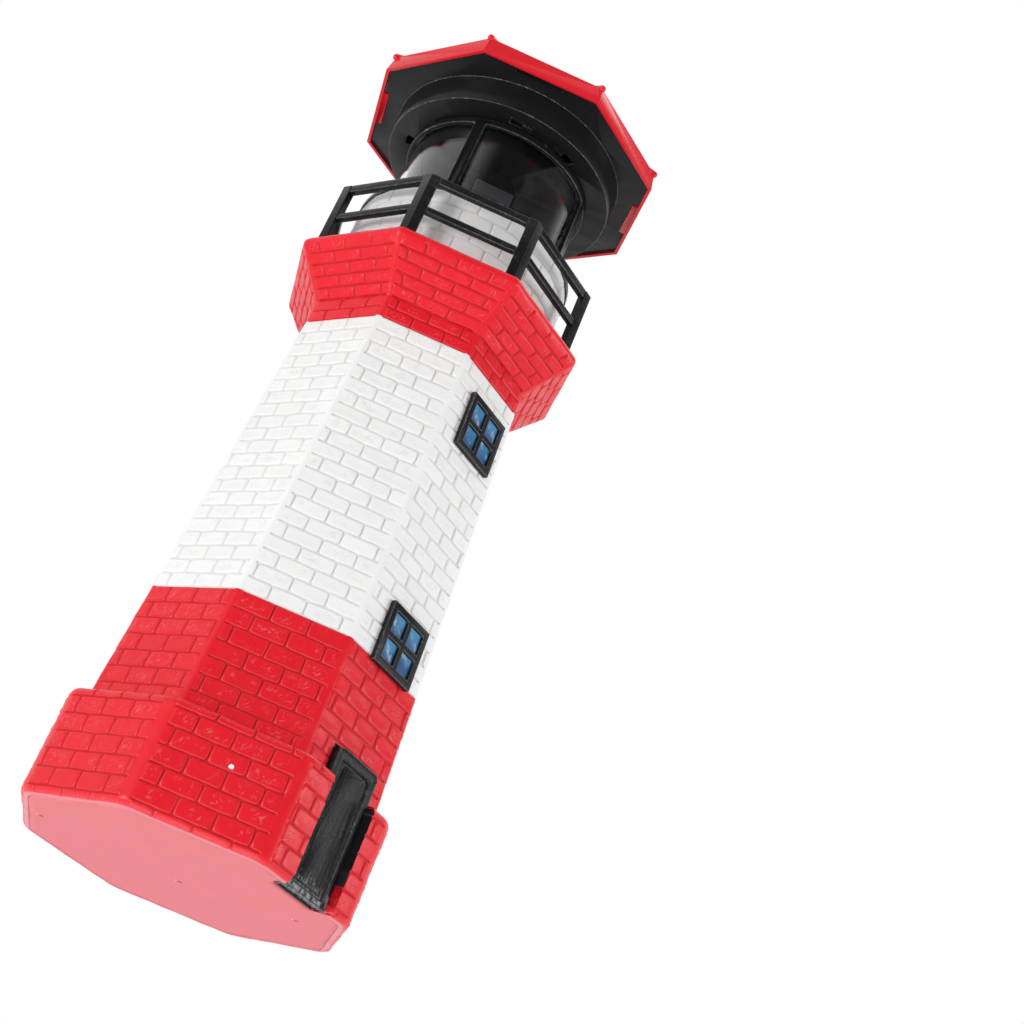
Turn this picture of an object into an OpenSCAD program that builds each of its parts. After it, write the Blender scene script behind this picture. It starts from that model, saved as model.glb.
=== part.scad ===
// Garden lighthouse ornament with a solar revolving lamp.
// An eight-sided brick tower stands on a rounded plinth and carries a railed
// gallery. The lantern plugs into the gallery drum and lifts out of it, and the
// roof, which holds the solar cell, battery and motor, twists off the lantern.
// Millimetres. +Z is up, the door faces -Y, and the origin is the middle of the
// face that the tower rests on.

/* [Tower] */
// Centre to sharp corner of the plinth
plinth_r = 57; // [55:0.5:62]
// Height of the plinth
plinth_h = 35.5; // [30:0.5:42]
// Radius of the plinth's upright corners
plinth_corner_round = 9; // [8:0.5:12]
// Radius of the plinth's upper and lower edges
plinth_edge_round = 2.5; // [1:0.25:4]
// Centre to corner of the tower where it leaves the plinth
tower_foot_r = 51.2; // [50.5:0.1:52.5]
// Centre to corner of the tower under the gallery
tower_top_r = 43; // [42:0.2:45]
// Height of the red courses above the plinth
red_foot_h = 40.5; // [34:0.5:46]
// Height of the white courses
white_h = 113; // [105:1:125]
// Thickness of the cast walls
wall = 5; // [3.5:0.25:5.5]
// Thickness of the plate that closes the tower below
bottom_plate_t = 3; // [2:0.25:4]

/* [Brick courses] */
// Length of a brick with its joint
brick_l = 11.8; // [10:0.1:14]
// Height of a red course with its joint
red_course_h = 5.95; // [5.2:0.05:6.4]
// Number of white courses
white_courses = 21; // [18:1:24]
// Width of the joints
joint_w = 0.8; // [0.6:0.1:1.2]
// Depth of the joints
joint_t = 0.45; // [0.3:0.05:0.8]

/* [Gallery] */
// Height of the upright red courses under the flare
neck_h = 9.2; // [7:0.2:12]
// Height of the flare
flare_h = 20; // [17:0.5:24]
// Centre to corner of the gallery floor
gallery_r = 56.7; // [56:0.1:60]
// Radius of the gallery's upper edge
gallery_edge_round = 2.4; // [1:0.2:3]
// Height of the drum
drum_h = 29.8; // [28:0.2:34]
// Centre to outer corner of the railing
railing_r = 52.8; // [52:0.1:53.5]
// Width of the walk between the drum and the railing's corner
walk_w = 11.3; // [11:0.1:11.6]
// Height of the railing
railing_h = 27.1; // [24:0.1:29]
// Width of one leg of an angled post
post_leg = 3.4; // [2.5:0.1:4.5]
// Thickness of a post's legs
post_t = 3; // [2.6:0.1:3.4]
// Depth of the top and middle rails
rail_t = 2.6; // [2:0.1:3]
// Height of the top rail's section
top_rail_h = 3.1; // [2.4:0.1:4]
// Height of the middle rail's section
mid_rail_h = 2.5; // [2:0.1:3.5]
// Height of the middle rail's underside above the gallery floor
mid_rail_z = 11; // [8:0.5:14]

/* [Door and windows] */
// Width of the door
door_w = 21; // [18:0.5:24]
// Height of the door's top above the ground
door_h = 45; // [42:0.5:50]
// Thickness of the door
door_t = 3.4; // [3:0.1:4]
// How far the door stands out from the tower's face at the plinth
door_proud = 2.3; // [1.8:0.1:2.6]
// Width of a window over its frame
window_w = 20.6; // [17:0.2:23]
// Height of a window over its frame
window_h = 21.4; // [18:0.2:24]
// Width of the frame's border
window_border = 2.6; // [2:0.1:3.2]
// Width of the glazing bars
glazing_bar = 2.2; // [1.6:0.1:2.8]
// Thickness of the frame
window_t = 2; // [1.5:0.1:3]
// Height of the lower window's middle above the foot of the white courses
lower_window_rise = 9.5; // [6:0.5:19]
// Depth of the upper window's middle below the top of the white courses
upper_window_drop = 20.2; // [14:0.2:39]
// How far the door and the windows stand to the right of the middle
facade_shift = 2; // [-3:0.5:3]

/* [Lantern] */
// Height of the lantern from the drum to the lamp housing
lantern_h = 41.7; // [39:0.1:48]
// Outer radius of the clear tube
tube_r = 34; // [33.5:0.1:34.3]
// Thickness of the clear tube
tube_t = 1.5; // [1:0.1:2]
// How far the lantern's foot stands out over the drum
foot_overhang = 0.5; // [0.2:0.1:1.5]
// Length of the plug that sits in the drum
plug_h = 10; // [6:0.5:14]
// Width of an upright of the lantern's cage
upright_w = 4.4; // [3.6:0.1:6]
// Thickness of the cage
cage_t = 1.7; // [1.4:0.1:1.8]
// Turn that frees the roof from the lantern, in degrees
twist_angle = 12; // [10:1:13]

/* [Roof] */
// Centre to lower corner of the roof's edge
eave_r = 59; // [58.5:0.1:61]
// How much narrower the edge is at its top
fascia_draft = 1.3; // [0.5:0.1:1.6]
// Height of the roof's upright edge
fascia_h = 7.6; // [6.5:0.1:9]
// Rise of the roof above its edge
roof_rise = 32.3; // [31:0.1:35]
// Thickness of the roof's walls
roof_wall = 2; // [1.6:0.1:2.2]
// Thickness of the edge where it goes round the lamp housing
eave_lip = 1.3; // [1.1:0.1:1.6]
// Radius of the round ribs on the roof's hips
rib_r = 1.3; // [1:0.1:1.8]
// Radius of the ball on the roof
ball_r = 6.2; // [5:0.1:7]
// Depth of the lamp housing below the roof's edge
housing_drop = 10.3; // [9.5:0.1:12]
// Radius of the lamp housing at its foot
housing_r = 44.5; // [44.3:0.1:46]
// Thickness of the lamp housing's floor
floor_t = 2; // [1.6:0.1:2.4]

/* [Solar panel] */
// Width of the solar panel
panel_w = 43; // [38:0.5:44]
// Length of the solar panel down the slope
panel_l = 34; // [30:0.5:35]
// Thickness of the solar panel
panel_t = 2; // [1.5:0.1:2.4]
// Distance of the panel's middle from the axis
panel_out = 27.75; // [27:0.25:28.5]
// How far the panel's face lies below the roof's hip
panel_sink = 5.1; // [4.6:0.1:5.4]

/* [Revolving lamp] */
// Width of the lamp block
lamp_w = 17; // [14:0.5:20]
// Height of the lamp block
lamp_h = 20; // [17:0.5:23]
// Thickness of the lamp block
lamp_d = 9; // [8:0.5:11]
// Radius of a clear lens cap
lens_r = 6.2; // [5.5:0.1:7]
// Length of a clear lens cap
lens_l = 13; // [11:0.5:15]
// Radius of the lamp's hollow spindle
spindle_r = 5; // [4.6:0.1:5.2]
// Size of the gear teeth
gear_module = 0.5; // [0.48:0.01:0.52]
// Teeth on the lamp's gear
gear_teeth = 48;
// Teeth on the motor's pinion
pinion_teeth = 12;
// Length of the battery
battery_l = 50.5; // [48:0.5:51]
// Radius of the battery
battery_r = 7.25; // [6.5:0.05:7.4]

/* [Hidden] */
$fn = 96;

paint_red = "#e4202c";
paint_white = "#f4f3ee";
paint_black = "#1f2022";
pale_pink = "#e79399";
pane_blue = "#3f8fc4";
clear_plastic = [0.85, 0.9, 0.92, 0.35];
brass_tone = "#c9a24a";
steel_tone = "#b9bcc0";

// The tower has eight sides, with a corner half a side away from +X.
sides = 8;
side_turn = 360 / sides;
half_turn = side_turn / 2;
flatness = cos(half_turn);
eps = 0.01;

// Clearances
seat_gap = 0.2;
running_gap = 0.05;
moving_gap = 0.4;

// Heights of the tower
paint_z = plinth_h + red_foot_h;
neck_z = paint_z + white_h;
flare_z = neck_z + neck_h;
gallery_z = flare_z + flare_h;
drum_r = railing_r - walk_w;
drum_top_z = gallery_z + drum_h;
lower_window_z = paint_z + lower_window_rise;
upper_window_z = neck_z - upper_window_drop;

// The tower's taper and its hollow
taper = (tower_foot_r - tower_top_r) / (neck_z - plinth_h);
wall_r = wall / flatness;
spigot_h = 4;
spigot_t = 2.2;
gallery_bore_r = tower_top_r * flatness - wall - 2.7;
function tower_r(z) = tower_foot_r - taper * (z - plinth_h);
function hollow_r(z) = tower_r(z) - wall_r;
function face_d(z) = tower_r(z) * flatness;
face_tilt = atan(taper * flatness);

// Brick courses: the heights of their bed joints, and the smooth band along every corner
corner_band = 1.2;
plinth_beds = [for (z = [plinth_edge_round : red_course_h : plinth_h - plinth_edge_round]) z];
foot_beds = [
  plinth_h + 0.1,
  for (k = [ceil(red_foot_h / red_course_h) - 1 : -1 : 0]) paint_z - k * red_course_h
];
white_beds = [for (k = [0 : white_courses]) paint_z + k * white_h / white_courses];
// Share of a brick at which the lowest course starts, and by which each course is shifted
plinth_bond = [0.36, 0.405];
foot_bond = [0.26, 0.37];
white_bond = [0.2, 0.42];
// Share of a brick by which each side is shifted, counted from the side that the shares are given for
side_slip = 0.29;
bond_side = 5;

// Door
door_front_d = face_d(plinth_h) + door_proud;
door_back_d = door_front_d - door_t;
door_foot_z = 0.6;
door_frame_w = 2.9;
door_round = 2.4;
door_panel_sink = 0.9;
door_panel_foot = 2;
door_field_rise = 0.6;
door_field_gap = 1.1;
bottom_plate_inset = plinth_r * flatness - door_back_d + 2 * seat_gap;

// Lantern
drum_bore_r = drum_r - wall;
lantern_foot_t = 3;
foot_floor_t = 2;
foot_step_h = 2;
lantern_foot_r = drum_r + foot_overhang;
foot_step_r = lantern_foot_r - 3.4;
cage_r_in = tube_r + 0.3;
cage_r_out = cage_r_in + cage_t;
cage_ring_h = 2.5;
foot_top_z = drum_top_z + lantern_foot_t + foot_step_h;

// Lamp housing, from its underside up
housing_z = drum_top_z + lantern_h;
floor_z = housing_z + floor_t;
eave_z = housing_z + housing_drop;
brim_z = eave_z + 0.6;
brim_t = 2;
ledge_z = brim_z + brim_t;
brim_r = eave_r - (eave_lip + seat_gap) / flatness;
housing_flare = 0.7;
housing_wall = 1.8;
tube_top_z = housing_z - 0.5;
cage_top_z = housing_z - 0.8;

// Bayonet hooks and their slots
hook_count = 3;
hook_turn = 7;
hook_w = 3.6;
hook_reach = 2.6;
hook_t = 1.2;
stem_t = 0.8;
stem_r = cage_r_in + 0.3;
hook_lift = 0.4;

// Slide switch
switch_turn = 226;
switch_r = cage_r_out + moving_gap + 1.4;
slot_l = 9.2;
slot_w = 3.2;
knob_l = 3.8;
knob_w = 2.6;
knob_travel = 4.4;
switch_case_l = 12;
switch_case_w = 5;
switch_case_h = 3.8;

// Roof
fascia_z = eave_z + fascia_h;
hip_r = eave_r - fascia_draft;
apex_z = fascia_z + roof_rise;
pitch = atan(roof_rise / hip_r);
face_pitch = atan(roof_rise / (hip_r * flatness));
ball_z = apex_z;
inner_apex_z = apex_z - roof_wall / cos(face_pitch);
inner_r = brim_r - 2;
inner_bend_z = inner_apex_z - inner_r * roof_rise / hip_r;
peg_r = 2.4;
peg_l = 12;
boss_r = 6;
tab_l = 18;
tab_t = 2;
tab_turns = [45, 135, 225, 315];

// Solar panel, in its recess over the hip beside the door's right
panel_turn = 292.5;
panel_z = apex_z - panel_out * tan(pitch) - panel_sink;
recess_gap = 0.4;
pad_t = 0.5;
recess_wall = 2;
recess_floor = 1.8;
recess_l = panel_l + 2 * recess_gap;
recess_w = panel_w + 2 * recess_gap;
recess_depth = panel_t + pad_t;
rim_h = 1.6;
gable_w = 14;
wire_hole_in = 5;
wire_hole_x = wire_hole_in - recess_l / 2;
pad_margin = 2;

// Revolving lamp and its drive
lamp_turn = 137;
bush_h = 2;
bush_r = spindle_r + 2.5;
washer_t = 0.4;
gear_z = floor_z + bush_h + washer_t;
gear_t = 3;
gear_r = gear_module * gear_teeth / 2;
pinion_r = gear_module * pinion_teeth / 2;
drive_turn = 193;
drive_d = gear_r + pinion_r;
gear_tip_r = gear_r + gear_module;
sleeve_z = gear_z + gear_t;
sleeve_h = 6.4;
sleeve_t = 1.2;
sleeve_r = spindle_r + sleeve_t;
ring_r = sleeve_r + 0.4;
ring_h = 1.2;
ring_zs = [sleeve_z + 1.2, sleeve_z + 4];
lamp_flange_t = 2.5;
lamp_flange_z = housing_z - 5;
lamp_flange_r = lamp_d;
lamp_z = lamp_flange_z - lamp_h;
wire_bore_r = 3;
led_r = 2.5;
led_l = 6.4;
led_seat = 3;
led_lead = 1.5;
lamp_wire_out = 1.2;

// Motor, on a bridge over the gear
shaft_r = 1.5;
bridge_z = gear_z + gear_t + 0.7;
bridge_t = 1.5;
bridge_w = 14;
gearbox_z = bridge_z + bridge_t;
gearbox_w = 12;
gearbox_d = 10;
gearbox_h = 9;
can_h = 13.5;
bridge_in = ring_r + 1.9;
screw_r = 1;
screw_head_r = 1.9;
screw_head_h = 1.2;
board_screw_l = 3.5;
bracket_screw_l = 2.8;
bridge_out = drive_d + gearbox_d / 2 + 1 + bridge_t;
bridge_foot = 2 * screw_head_r + 0.7;

// Battery and its holder, square to the direction battery_turn
battery_turn = 73;
holder_w = 2 * battery_r + 2.5;
holder_wall = 1.5;
end_room = 1.5;
holder_l = battery_l + 2 * (holder_wall + end_room);
holder_base = 1.2;
holder_h = holder_base + battery_r;
battery_d = gear_tip_r + 1 + holder_w / 2;
battery_z = floor_z + holder_base + battery_r + 0.1;
contact_t = 0.5;

// Circuit board
board_turn = 305;
board_l = 30;
board_w = 18;
board_t = 1.2;
board_d = 25;
board_post_h = 4;
board_z = floor_z + board_post_h;
board_hole_y = board_l / 2 - 2.5;
driver_w = 5;
driver_l = 6;
driver_h = 1.6;
capacitor_out = 5;
capacitor_r = 2.5;
capacitor_h = 5;
small_capacitor_r = 2;
small_capacitor_h = 3.4;
chip_out = 6;
chip_w = 2;
chip_l = 3.4;
chip_h = 1.2;

// Brushes
brush_turn = 13;
brush_block_d = gear_tip_r + 0.9;
brush_block_t = 4;
brush_block_w = 8;
brush_t = 0.4;

wire_r = 0.6;

// Shared shapes
module oct_prism(r, h) rotate(half_turn) cylinder(r = r, h = h, $fn = sides);

module oct_frustum(r1, r2, h) rotate(half_turn) cylinder(r1 = r1, r2 = r2, h = h, $fn = sides);

module lift(z) translate([0, 0, z]) children();

module out(turn, d, z = 0) rotate(turn) translate([d, 0, z]) children();

module at_corners(r) for (k = [0 : sides - 1]) out(half_turn + k * side_turn, r) children();

module ring(r_out, r_in, h) difference() {
  cylinder(r = r_out, h = h);
  lift(-1) cylinder(r = r_in, h = h + 2);
}

// A box centred on X and Y
module block(size_x, size_y, size_z) translate([-size_x / 2, -size_y / 2, 0]) cube([size_x, size_y, size_z]);

// A stretch of a ring, span degrees long and centred on +X
module arc_block(r_in, r_out, span, h) intersection() {
  ring(r_out, r_in, h);
  linear_extrude(h) polygon([
    [0, 0],
    [2 * r_out * cos(span / 2), -2 * r_out * sin(span / 2)],
    [2 * r_out * cos(span / 2), 2 * r_out * sin(span / 2)]
  ]);
}

// Points of a smooth curve through the route's own points, steps to a stretch
function curve_point(a, b, c, d, t) =
  0.5 * (2 * b + (c - a) * t + (2 * a - 5 * b + 4 * c - d) * t * t + (3 * b - a - 3 * c + d) * t * t * t);
function smooth_route(p, steps) = [
  for (i = [0 : len(p) - 2])
    for (s = [0 : steps - 1])
      curve_point(p[max(i - 1, 0)], p[i], p[i + 1], p[min(i + 2, len(p) - 1)], s / steps),
  p[len(p) - 1]
];
function unit(v) = v / norm(v);

// Cross-direction of each point's ring, carried along the route without twist
function frames(p, i = 0, side = undef) =
  let (
    ahead = unit(p[min(i + 1, len(p) - 1)] - p[max(i - 1, 0)]),
    start = abs(ahead.z) > 0.9 ? [1, 0, 0] : [0, 0, 1],
    last = is_undef(side) ? start : side,
    across = unit(last - (last * ahead) * ahead)
  )
  i == len(p) - 1 ? [[ahead, across]] : concat([[ahead, across]], frames(p, i + 1, across));

module tube_along(p, r, ring_sides = 6) {
  f = frames(p);
  n = ring_sides;
  last = len(p) - 1;
  points = [
    for (i = [0 : last])
      for (k = [0 : n - 1])
        p[i] + r * cos(360 * k / n) * f[i][1] + r * sin(360 * k / n) * cross(f[i][0], f[i][1])
  ];
  walls = [
    for (i = [0 : last - 1])
      for (k = [0 : n - 1])
        let (a = i * n + k, b = i * n + (k + 1) % n)
          each [[a, b, b + n], [a, b + n, a + n]]
  ];
  caps = [
    [for (k = [n - 1 : -1 : 0]) k],
    [for (k = [0 : n - 1]) last * n + k]
  ];
  polyhedron(points = points, faces = [for (w = concat(walls, caps)) [for (i = [len(w) - 1 : -1 : 0]) w[i]]]);
}

module wire(p, r = wire_r) tube_along(smooth_route(p, 4), r);

function polar(turn, d, z) = [d * cos(turn), d * sin(turn), z];

// Tower
module plinth_corner() {
  r = plinth_corner_round;
  e = min(plinth_edge_round, plinth_corner_round - 1);
  cylinder(r = r - e, h = plinth_h, $fn = 48);
  for (z = [e, plinth_h - e]) lift(z) rotate_extrude($fn = 48) translate([r - e, 0]) circle(e, $fn = 24);
}

module plinth_solid() hull() at_corners(plinth_r - plinth_corner_round / flatness) plinth_corner();

module bottom_outline(inset, h) hull()
  at_corners(plinth_r - (plinth_corner_round - 2) / flatness - inset / flatness)
    cylinder(r = plinth_corner_round - 2, h = h, $fn = 32);

// The cut that the door sits in, through the plinth and into the tower's face
module door_pocket() {
  w = door_w + 2 * seat_gap;
  translate([facade_shift - w / 2, -plinth_r, -1])
    cube([w, plinth_r - door_back_d + seat_gap, door_h + seat_gap + 1]);
}

// An upright lip that locates one cast section inside the next
module spigot(z) {
  r = hollow_r(z);
  difference() {
    union() {
      lift(z - spigot_h) oct_prism(r - seat_gap, spigot_h + eps);
      lift(z) oct_prism(r + 1, spigot_h);
    }
    lift(z - spigot_h - 1) oct_prism(r - spigot_t, 2 * spigot_h + 2);
  }
}

// The joints on one side of a wall, upright in X and Y, from a half width of reach[0] to one of reach[1]
module joint_net(beds, reach, bond, side) {
  last = len(beds) - 1;
  function share(z) = (z - beds[0]) / (beds[last] - beds[0]);
  function reach_at(z) = part_way(reach[0], reach[1], share(z)) - corner_band;
  for (i = [0 : last]) translate([-reach_at(beds[i]), beds[i] - beds[0] - joint_w / 2])
    square([2 * reach_at(beds[i]), joint_w]);
  for (i = [0 : last - 1], k = [-3 : 3])
    let (
      start = bond[0] + bond[1] * i + side_slip * (side - bond_side),
      x = brick_l * (k + start - floor(start))
    )
    if (abs(x) < reach_at(beds[i + 1]) - joint_w)
      translate([x - joint_w / 2, beds[i] - beds[0]]) square([joint_w, beds[i + 1] - beds[i]]);
}

// What the joints cut from the eight sides of a wall whose foot stands d from the axis
module joint_cuts(beds, d, tilt, reach, bond) for (side = [0 : sides - 1])
  rotate(side * side_turn) translate([d, 0, beds[0]]) rotate([0, -tilt, 0]) rotate([90, 0, 90])
    lift(-joint_t) linear_extrude(joint_t + 1) joint_net(beds, reach, bond, side);

module tower_joints(beds, bond) {
  top = beds[len(beds) - 1];
  joint_cuts(beds, face_d(beds[0]), face_tilt, [tower_r(beds[0]), tower_r(top)] * sin(half_turn), bond);
}

module plinth_joints() {
  flat = (plinth_r - plinth_corner_round / flatness) * sin(half_turn) + corner_band;
  joint_cuts(plinth_beds, plinth_r * flatness, 0, [flat, flat], plinth_bond);
}

module base_section() color(paint_red) difference() {
  union() {
    plinth_solid();
    lift(plinth_h - 1) oct_frustum(tower_r(plinth_h - 1), tower_r(paint_z), red_foot_h + 1);
  }
  lift(-1) bottom_outline(bottom_plate_inset - seat_gap, bottom_plate_t + 1);
  lift(bottom_plate_t - eps) oct_prism(hollow_r(plinth_h), plinth_h - bottom_plate_t + 2 * eps);
  lift(plinth_h) oct_frustum(hollow_r(plinth_h), hollow_r(paint_z), red_foot_h + eps);
  plinth_joints();
  tower_joints(foot_beds, foot_bond);
  door_pocket();
}

module bottom_plate() color(pale_pink) bottom_outline(bottom_plate_inset, bottom_plate_t);

module shaft_section() color(paint_white) {
  difference() {
    lift(paint_z) oct_frustum(tower_r(paint_z), tower_r(neck_z), white_h);
    lift(paint_z - eps) oct_frustum(hollow_r(paint_z), hollow_r(neck_z), white_h + 2 * eps);
    tower_joints(white_beds, white_bond);
  }
  spigot(paint_z);
}

// Outline of the neck and the flare, which ends in a rounded upper edge
function flare_profile() =
  let (
    e = gallery_edge_round,
    slope = atan((gallery_r - tower_top_r) * flatness / (flare_h - e)),
    steps = 6
  )
  [
    [0, neck_z], [tower_r(neck_z), neck_z], [tower_r(neck_z), flare_z],
    for (i = [0 : steps])
      let (a = i * (90 + slope) / steps - slope)
        [gallery_r + (cos(a) - 1) * e / flatness, gallery_z + (sin(a) - 1) * e],
    [0, gallery_z]
  ];

module gallery_section() color(paint_red) {
  difference() {
    rotate(half_turn) rotate_extrude($fn = sides) polygon(flare_profile());
    lift(neck_z - 1) cylinder(r = gallery_bore_r, h = neck_h + flare_h + 2);
  }
  spigot(neck_z);
}

module gallery_drum() color(paint_white) lift(gallery_z) ring(drum_r, drum_bore_r, drum_h);

// The outline of a door or a panel, upright in X and Y, with its upper corners rounded
module door_outline(w, foot, top, r) {
  translate([-w / 2, foot]) square([w, top - foot - r]);
  translate([r - w / 2, foot]) square([w - 2 * r, top - foot]);
  for (x = [-1, 1]) translate([x * (w / 2 - r), top - r]) circle(r);
}

// A door with a raised frame, and a field that stands in its sunk panel
module door() color(paint_black) translate([facade_shift, 0, 0]) rotate([90, 0, 0]) {
  panel_w = door_w - 2 * door_frame_w;
  panel_foot = door_foot_z + door_panel_foot;
  panel_top = door_h - door_frame_w;
  panel_round = door_round / 3;
  lift(door_back_d) linear_extrude(door_t - door_panel_sink)
    door_outline(door_w, door_foot_z, door_h, door_round);
  lift(door_front_d - door_panel_sink - eps) linear_extrude(door_panel_sink + eps) difference() {
    door_outline(door_w, door_foot_z, door_h, door_round);
    door_outline(panel_w, panel_foot, panel_top, panel_round);
  }
  gap = door_field_gap;
  lift(door_front_d - door_panel_sink - eps) linear_extrude(door_field_rise)
    door_outline(panel_w - 2 * gap, panel_foot + gap, panel_top - gap, panel_round);
}

// Places a piece on the tower's front face, with its own +Z outwards
module on_front(z) translate([facade_shift, -face_d(z), z]) rotate([90 - face_tilt, 0, 0]) children();

module pane_grid() {
  pane_w = (window_w - 2 * window_border - glazing_bar) / 2;
  pane_h = (window_h - 2 * window_border - glazing_bar) / 2;
  for (x = [-1, 1], y = [-1, 1])
    translate([x * (pane_w + glazing_bar) / 2, y * (pane_h + glazing_bar) / 2])
      square([pane_w, pane_h], center = true);
}

module window_frame(z) color(paint_black) on_front(z) difference() {
  block(window_w, window_h, window_t);
  lift(-1) linear_extrude(window_t + 2) pane_grid();
}

module window_panes(z) color(pane_blue) on_front(z) linear_extrude(window_t / 2) pane_grid();

module lower_window_frame() window_frame(lower_window_z);
module lower_window_panes() window_panes(lower_window_z);
module upper_window_frame() window_frame(upper_window_z);
module upper_window_panes() window_panes(upper_window_z);

// Gallery railing: posts of angled section, with straight rails between them
side_half = railing_r * sin(half_turn);
rail_d = railing_r * flatness;

module post_section() {
  along = [-sin(half_turn), flatness];
  inwards = [-flatness, -sin(half_turn)];
  tip = [railing_r, 0] + post_leg * along;
  heel = tip + post_t * inwards;
  polygon([
    [railing_r, 0], tip, heel, [railing_r - post_t / flatness, 0], [heel.x, -heel.y], [tip.x, -tip.y]
  ]);
}

module railing_posts() color(paint_black) lift(gallery_z)
  at_corners(0) linear_extrude(railing_h) post_section();

module rails(z, h) for (k = [0 : sides - 1])
  out(k * side_turn, rail_d - post_t / 2, z) block(rail_t, 2 * (side_half - post_leg), h);

module railing_top_rail() color(paint_black) rails(gallery_z + railing_h - top_rail_h, top_rail_h);
module railing_mid_rail() color(paint_black) rails(gallery_z + mid_rail_z, mid_rail_h);

// Lantern
module lantern_foot() color(paint_black) {
  lift(drum_top_z) rotate_extrude() polygon([
    [0, 0], [lantern_foot_r, 0], [lantern_foot_r, lantern_foot_t - 0.4],
    [lantern_foot_r - 0.4, lantern_foot_t],
    [foot_step_r, lantern_foot_t], [foot_step_r, lantern_foot_t + foot_step_h],
    [cage_r_in, lantern_foot_t + foot_step_h], [cage_r_in, foot_floor_t], [0, foot_floor_t]
  ]);
  lift(drum_top_z - plug_h) ring(drum_bore_r - 1.5 * seat_gap, drum_bore_r - 3, plug_h + eps);
}

function hook_at(k) = hook_turn + k * 360 / hook_count;

// A hook stands on the cage's top ring, passes the floor's slot and reaches outwards over the floor
module hook(turn) rotate(turn) {
  hook_z = floor_z + hook_lift;
  translate([stem_r, -hook_w / 2, cage_top_z - 1]) cube([stem_t, hook_w, hook_z + hook_t - cage_top_z + 1]);
  translate([stem_r, -hook_w / 2, hook_z]) cube([stem_t + hook_reach, hook_w, hook_t]);
}

module lantern_cage() color(paint_black) {
  cage_h = cage_top_z - foot_top_z;
  gap_h = cage_h - 2 * cage_ring_h;
  difference() {
    lift(foot_top_z) ring(cage_r_out, cage_r_in, cage_h);
    lift(foot_top_z + cage_ring_h) difference() {
      cylinder(r = cage_r_out + 2, h = gap_h);
      for (k = [0, 1]) rotate(half_turn + k * 90) lift(-1) block(3 * cage_r_out, upright_w, gap_h + 2);
    }
  }
  lift(foot_top_z) ring(cage_r_out + 0.8, cage_r_in + 0.5, cage_ring_h - 0.4);
  for (k = [0 : hook_count - 1]) hook(hook_at(k));
}

module lantern_tube() color(clear_plastic)
  lift(drum_top_z + foot_floor_t) ring(tube_r, tube_r - tube_t, tube_top_z - drum_top_z - foot_floor_t);

// Lamp housing: a brim that closes the roof, and a round cup under it
hook_span = 2 * asin((hook_w / 2 + moving_gap) / stem_r);

module bayonet_slot(turn) lift(housing_z - 1) {
  rotate(turn + twist_angle / 2)
    arc_block(stem_r - moving_gap, stem_r + stem_t + moving_gap, twist_angle + hook_span, floor_t + 2);
  rotate(turn + twist_angle)
    arc_block(stem_r, stem_r + stem_t + hook_reach + moving_gap, hook_span + 0.6, floor_t + 2);
}

// The room that the hooks take up over the floor while the roof is twisted
module hook_paths(h) for (k = [0 : hook_count - 1]) rotate(hook_at(k) + twist_angle / 2)
  arc_block(stem_r - moving_gap, stem_r + stem_t + hook_reach + moving_gap, twist_angle + hook_span, h);

module at_switch() out(switch_turn, switch_r) children();

module at_tabs(d) for (turn = tab_turns) out(turn, d) children();

module at_bridge_screws() for (y = [-1, 1])
  out(drive_turn, bridge_out + bridge_foot / 2) translate([0, y * (bridge_w / 2 - 2.5), 0]) children();

module at_board_screws() for (y = [-1, 1])
  out(board_turn, board_d) translate([0, y * board_hole_y, 0]) children();

module lamp_housing() color(paint_black) difference() {
  union() {
    lift(brim_z) oct_prism(brim_r, brim_t);
    lift(housing_z) cylinder(r1 = housing_r, r2 = housing_r + housing_flare, h = brim_z - housing_z + 1);
  }
  lift(floor_z) difference() {
    cylinder(r = housing_r - housing_wall, h = ledge_z - floor_z + 1);
    lift(-1) cylinder(r = bush_r, h = bush_h + 1);
    for (k = [0 : 1]) at_board_screws() lift(-1) cylinder(r = 2.4, h = board_post_h + 1);
  }
  lift(housing_z - 1) cylinder(r = spindle_r + running_gap, h = floor_t + bush_h + 2);
  for (k = [0 : hook_count - 1]) bayonet_slot(hook_at(k));
  at_switch() lift(housing_z - 1) block(slot_w, slot_l, floor_t + 2);
  at_board_screws() lift(floor_z + 0.5) cylinder(r = screw_r + 0.02, h = board_post_h);
  at_bridge_screws() lift(housing_z + 0.4) cylinder(r = screw_r + 0.02, h = floor_t);
  at_tabs(brim_r * flatness) lift(brim_z - 1) block(2 * (tab_t + seat_gap), tab_l + 2 * seat_gap, brim_t + 2);
}

// Roof
module hip_rib(turn) out(turn, hip_r, fascia_z) {
  sphere(rib_r, $fn = 32);
  rotate([0, pitch - 90, 0]) cylinder(r = rib_r, h = hip_r / cos(pitch), $fn = 32);
}

// Panel frame: +X down the slope, +Y across, +Z square to the panel, from its face's middle
module on_panel() out(panel_turn, panel_out, panel_z) rotate([0, pitch, 0]) children();

module recess_rim() on_panel() {
  half_l = recess_l / 2;
  half_w = recess_w / 2 + recess_wall;
  depth = recess_depth + recess_floor;
  // Gabled wall at the top of the recess
  translate([-half_l - recess_wall, 0, 0]) rotate([90, 0, 90]) linear_extrude(recess_wall)
    polygon([
      [-half_w, -depth], [half_w, -depth], [half_w, rim_h],
      [gable_w / 2, panel_sink + 0.8], [-gable_w / 2, panel_sink + 0.8], [-half_w, rim_h]
    ]);
  // Side walls, which sink into the roof down the slope
  for (y = [-1, 1])
    translate([0, y * (recess_w + recess_wall) / 2 + recess_wall / 2, 0])
      rotate([90, 0, 0]) linear_extrude(recess_wall) polygon([
        [-half_l - recess_wall, -depth], [half_l, -depth], [half_l, 0.3], [-half_l - recess_wall, rim_h]
      ]);
}

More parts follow.
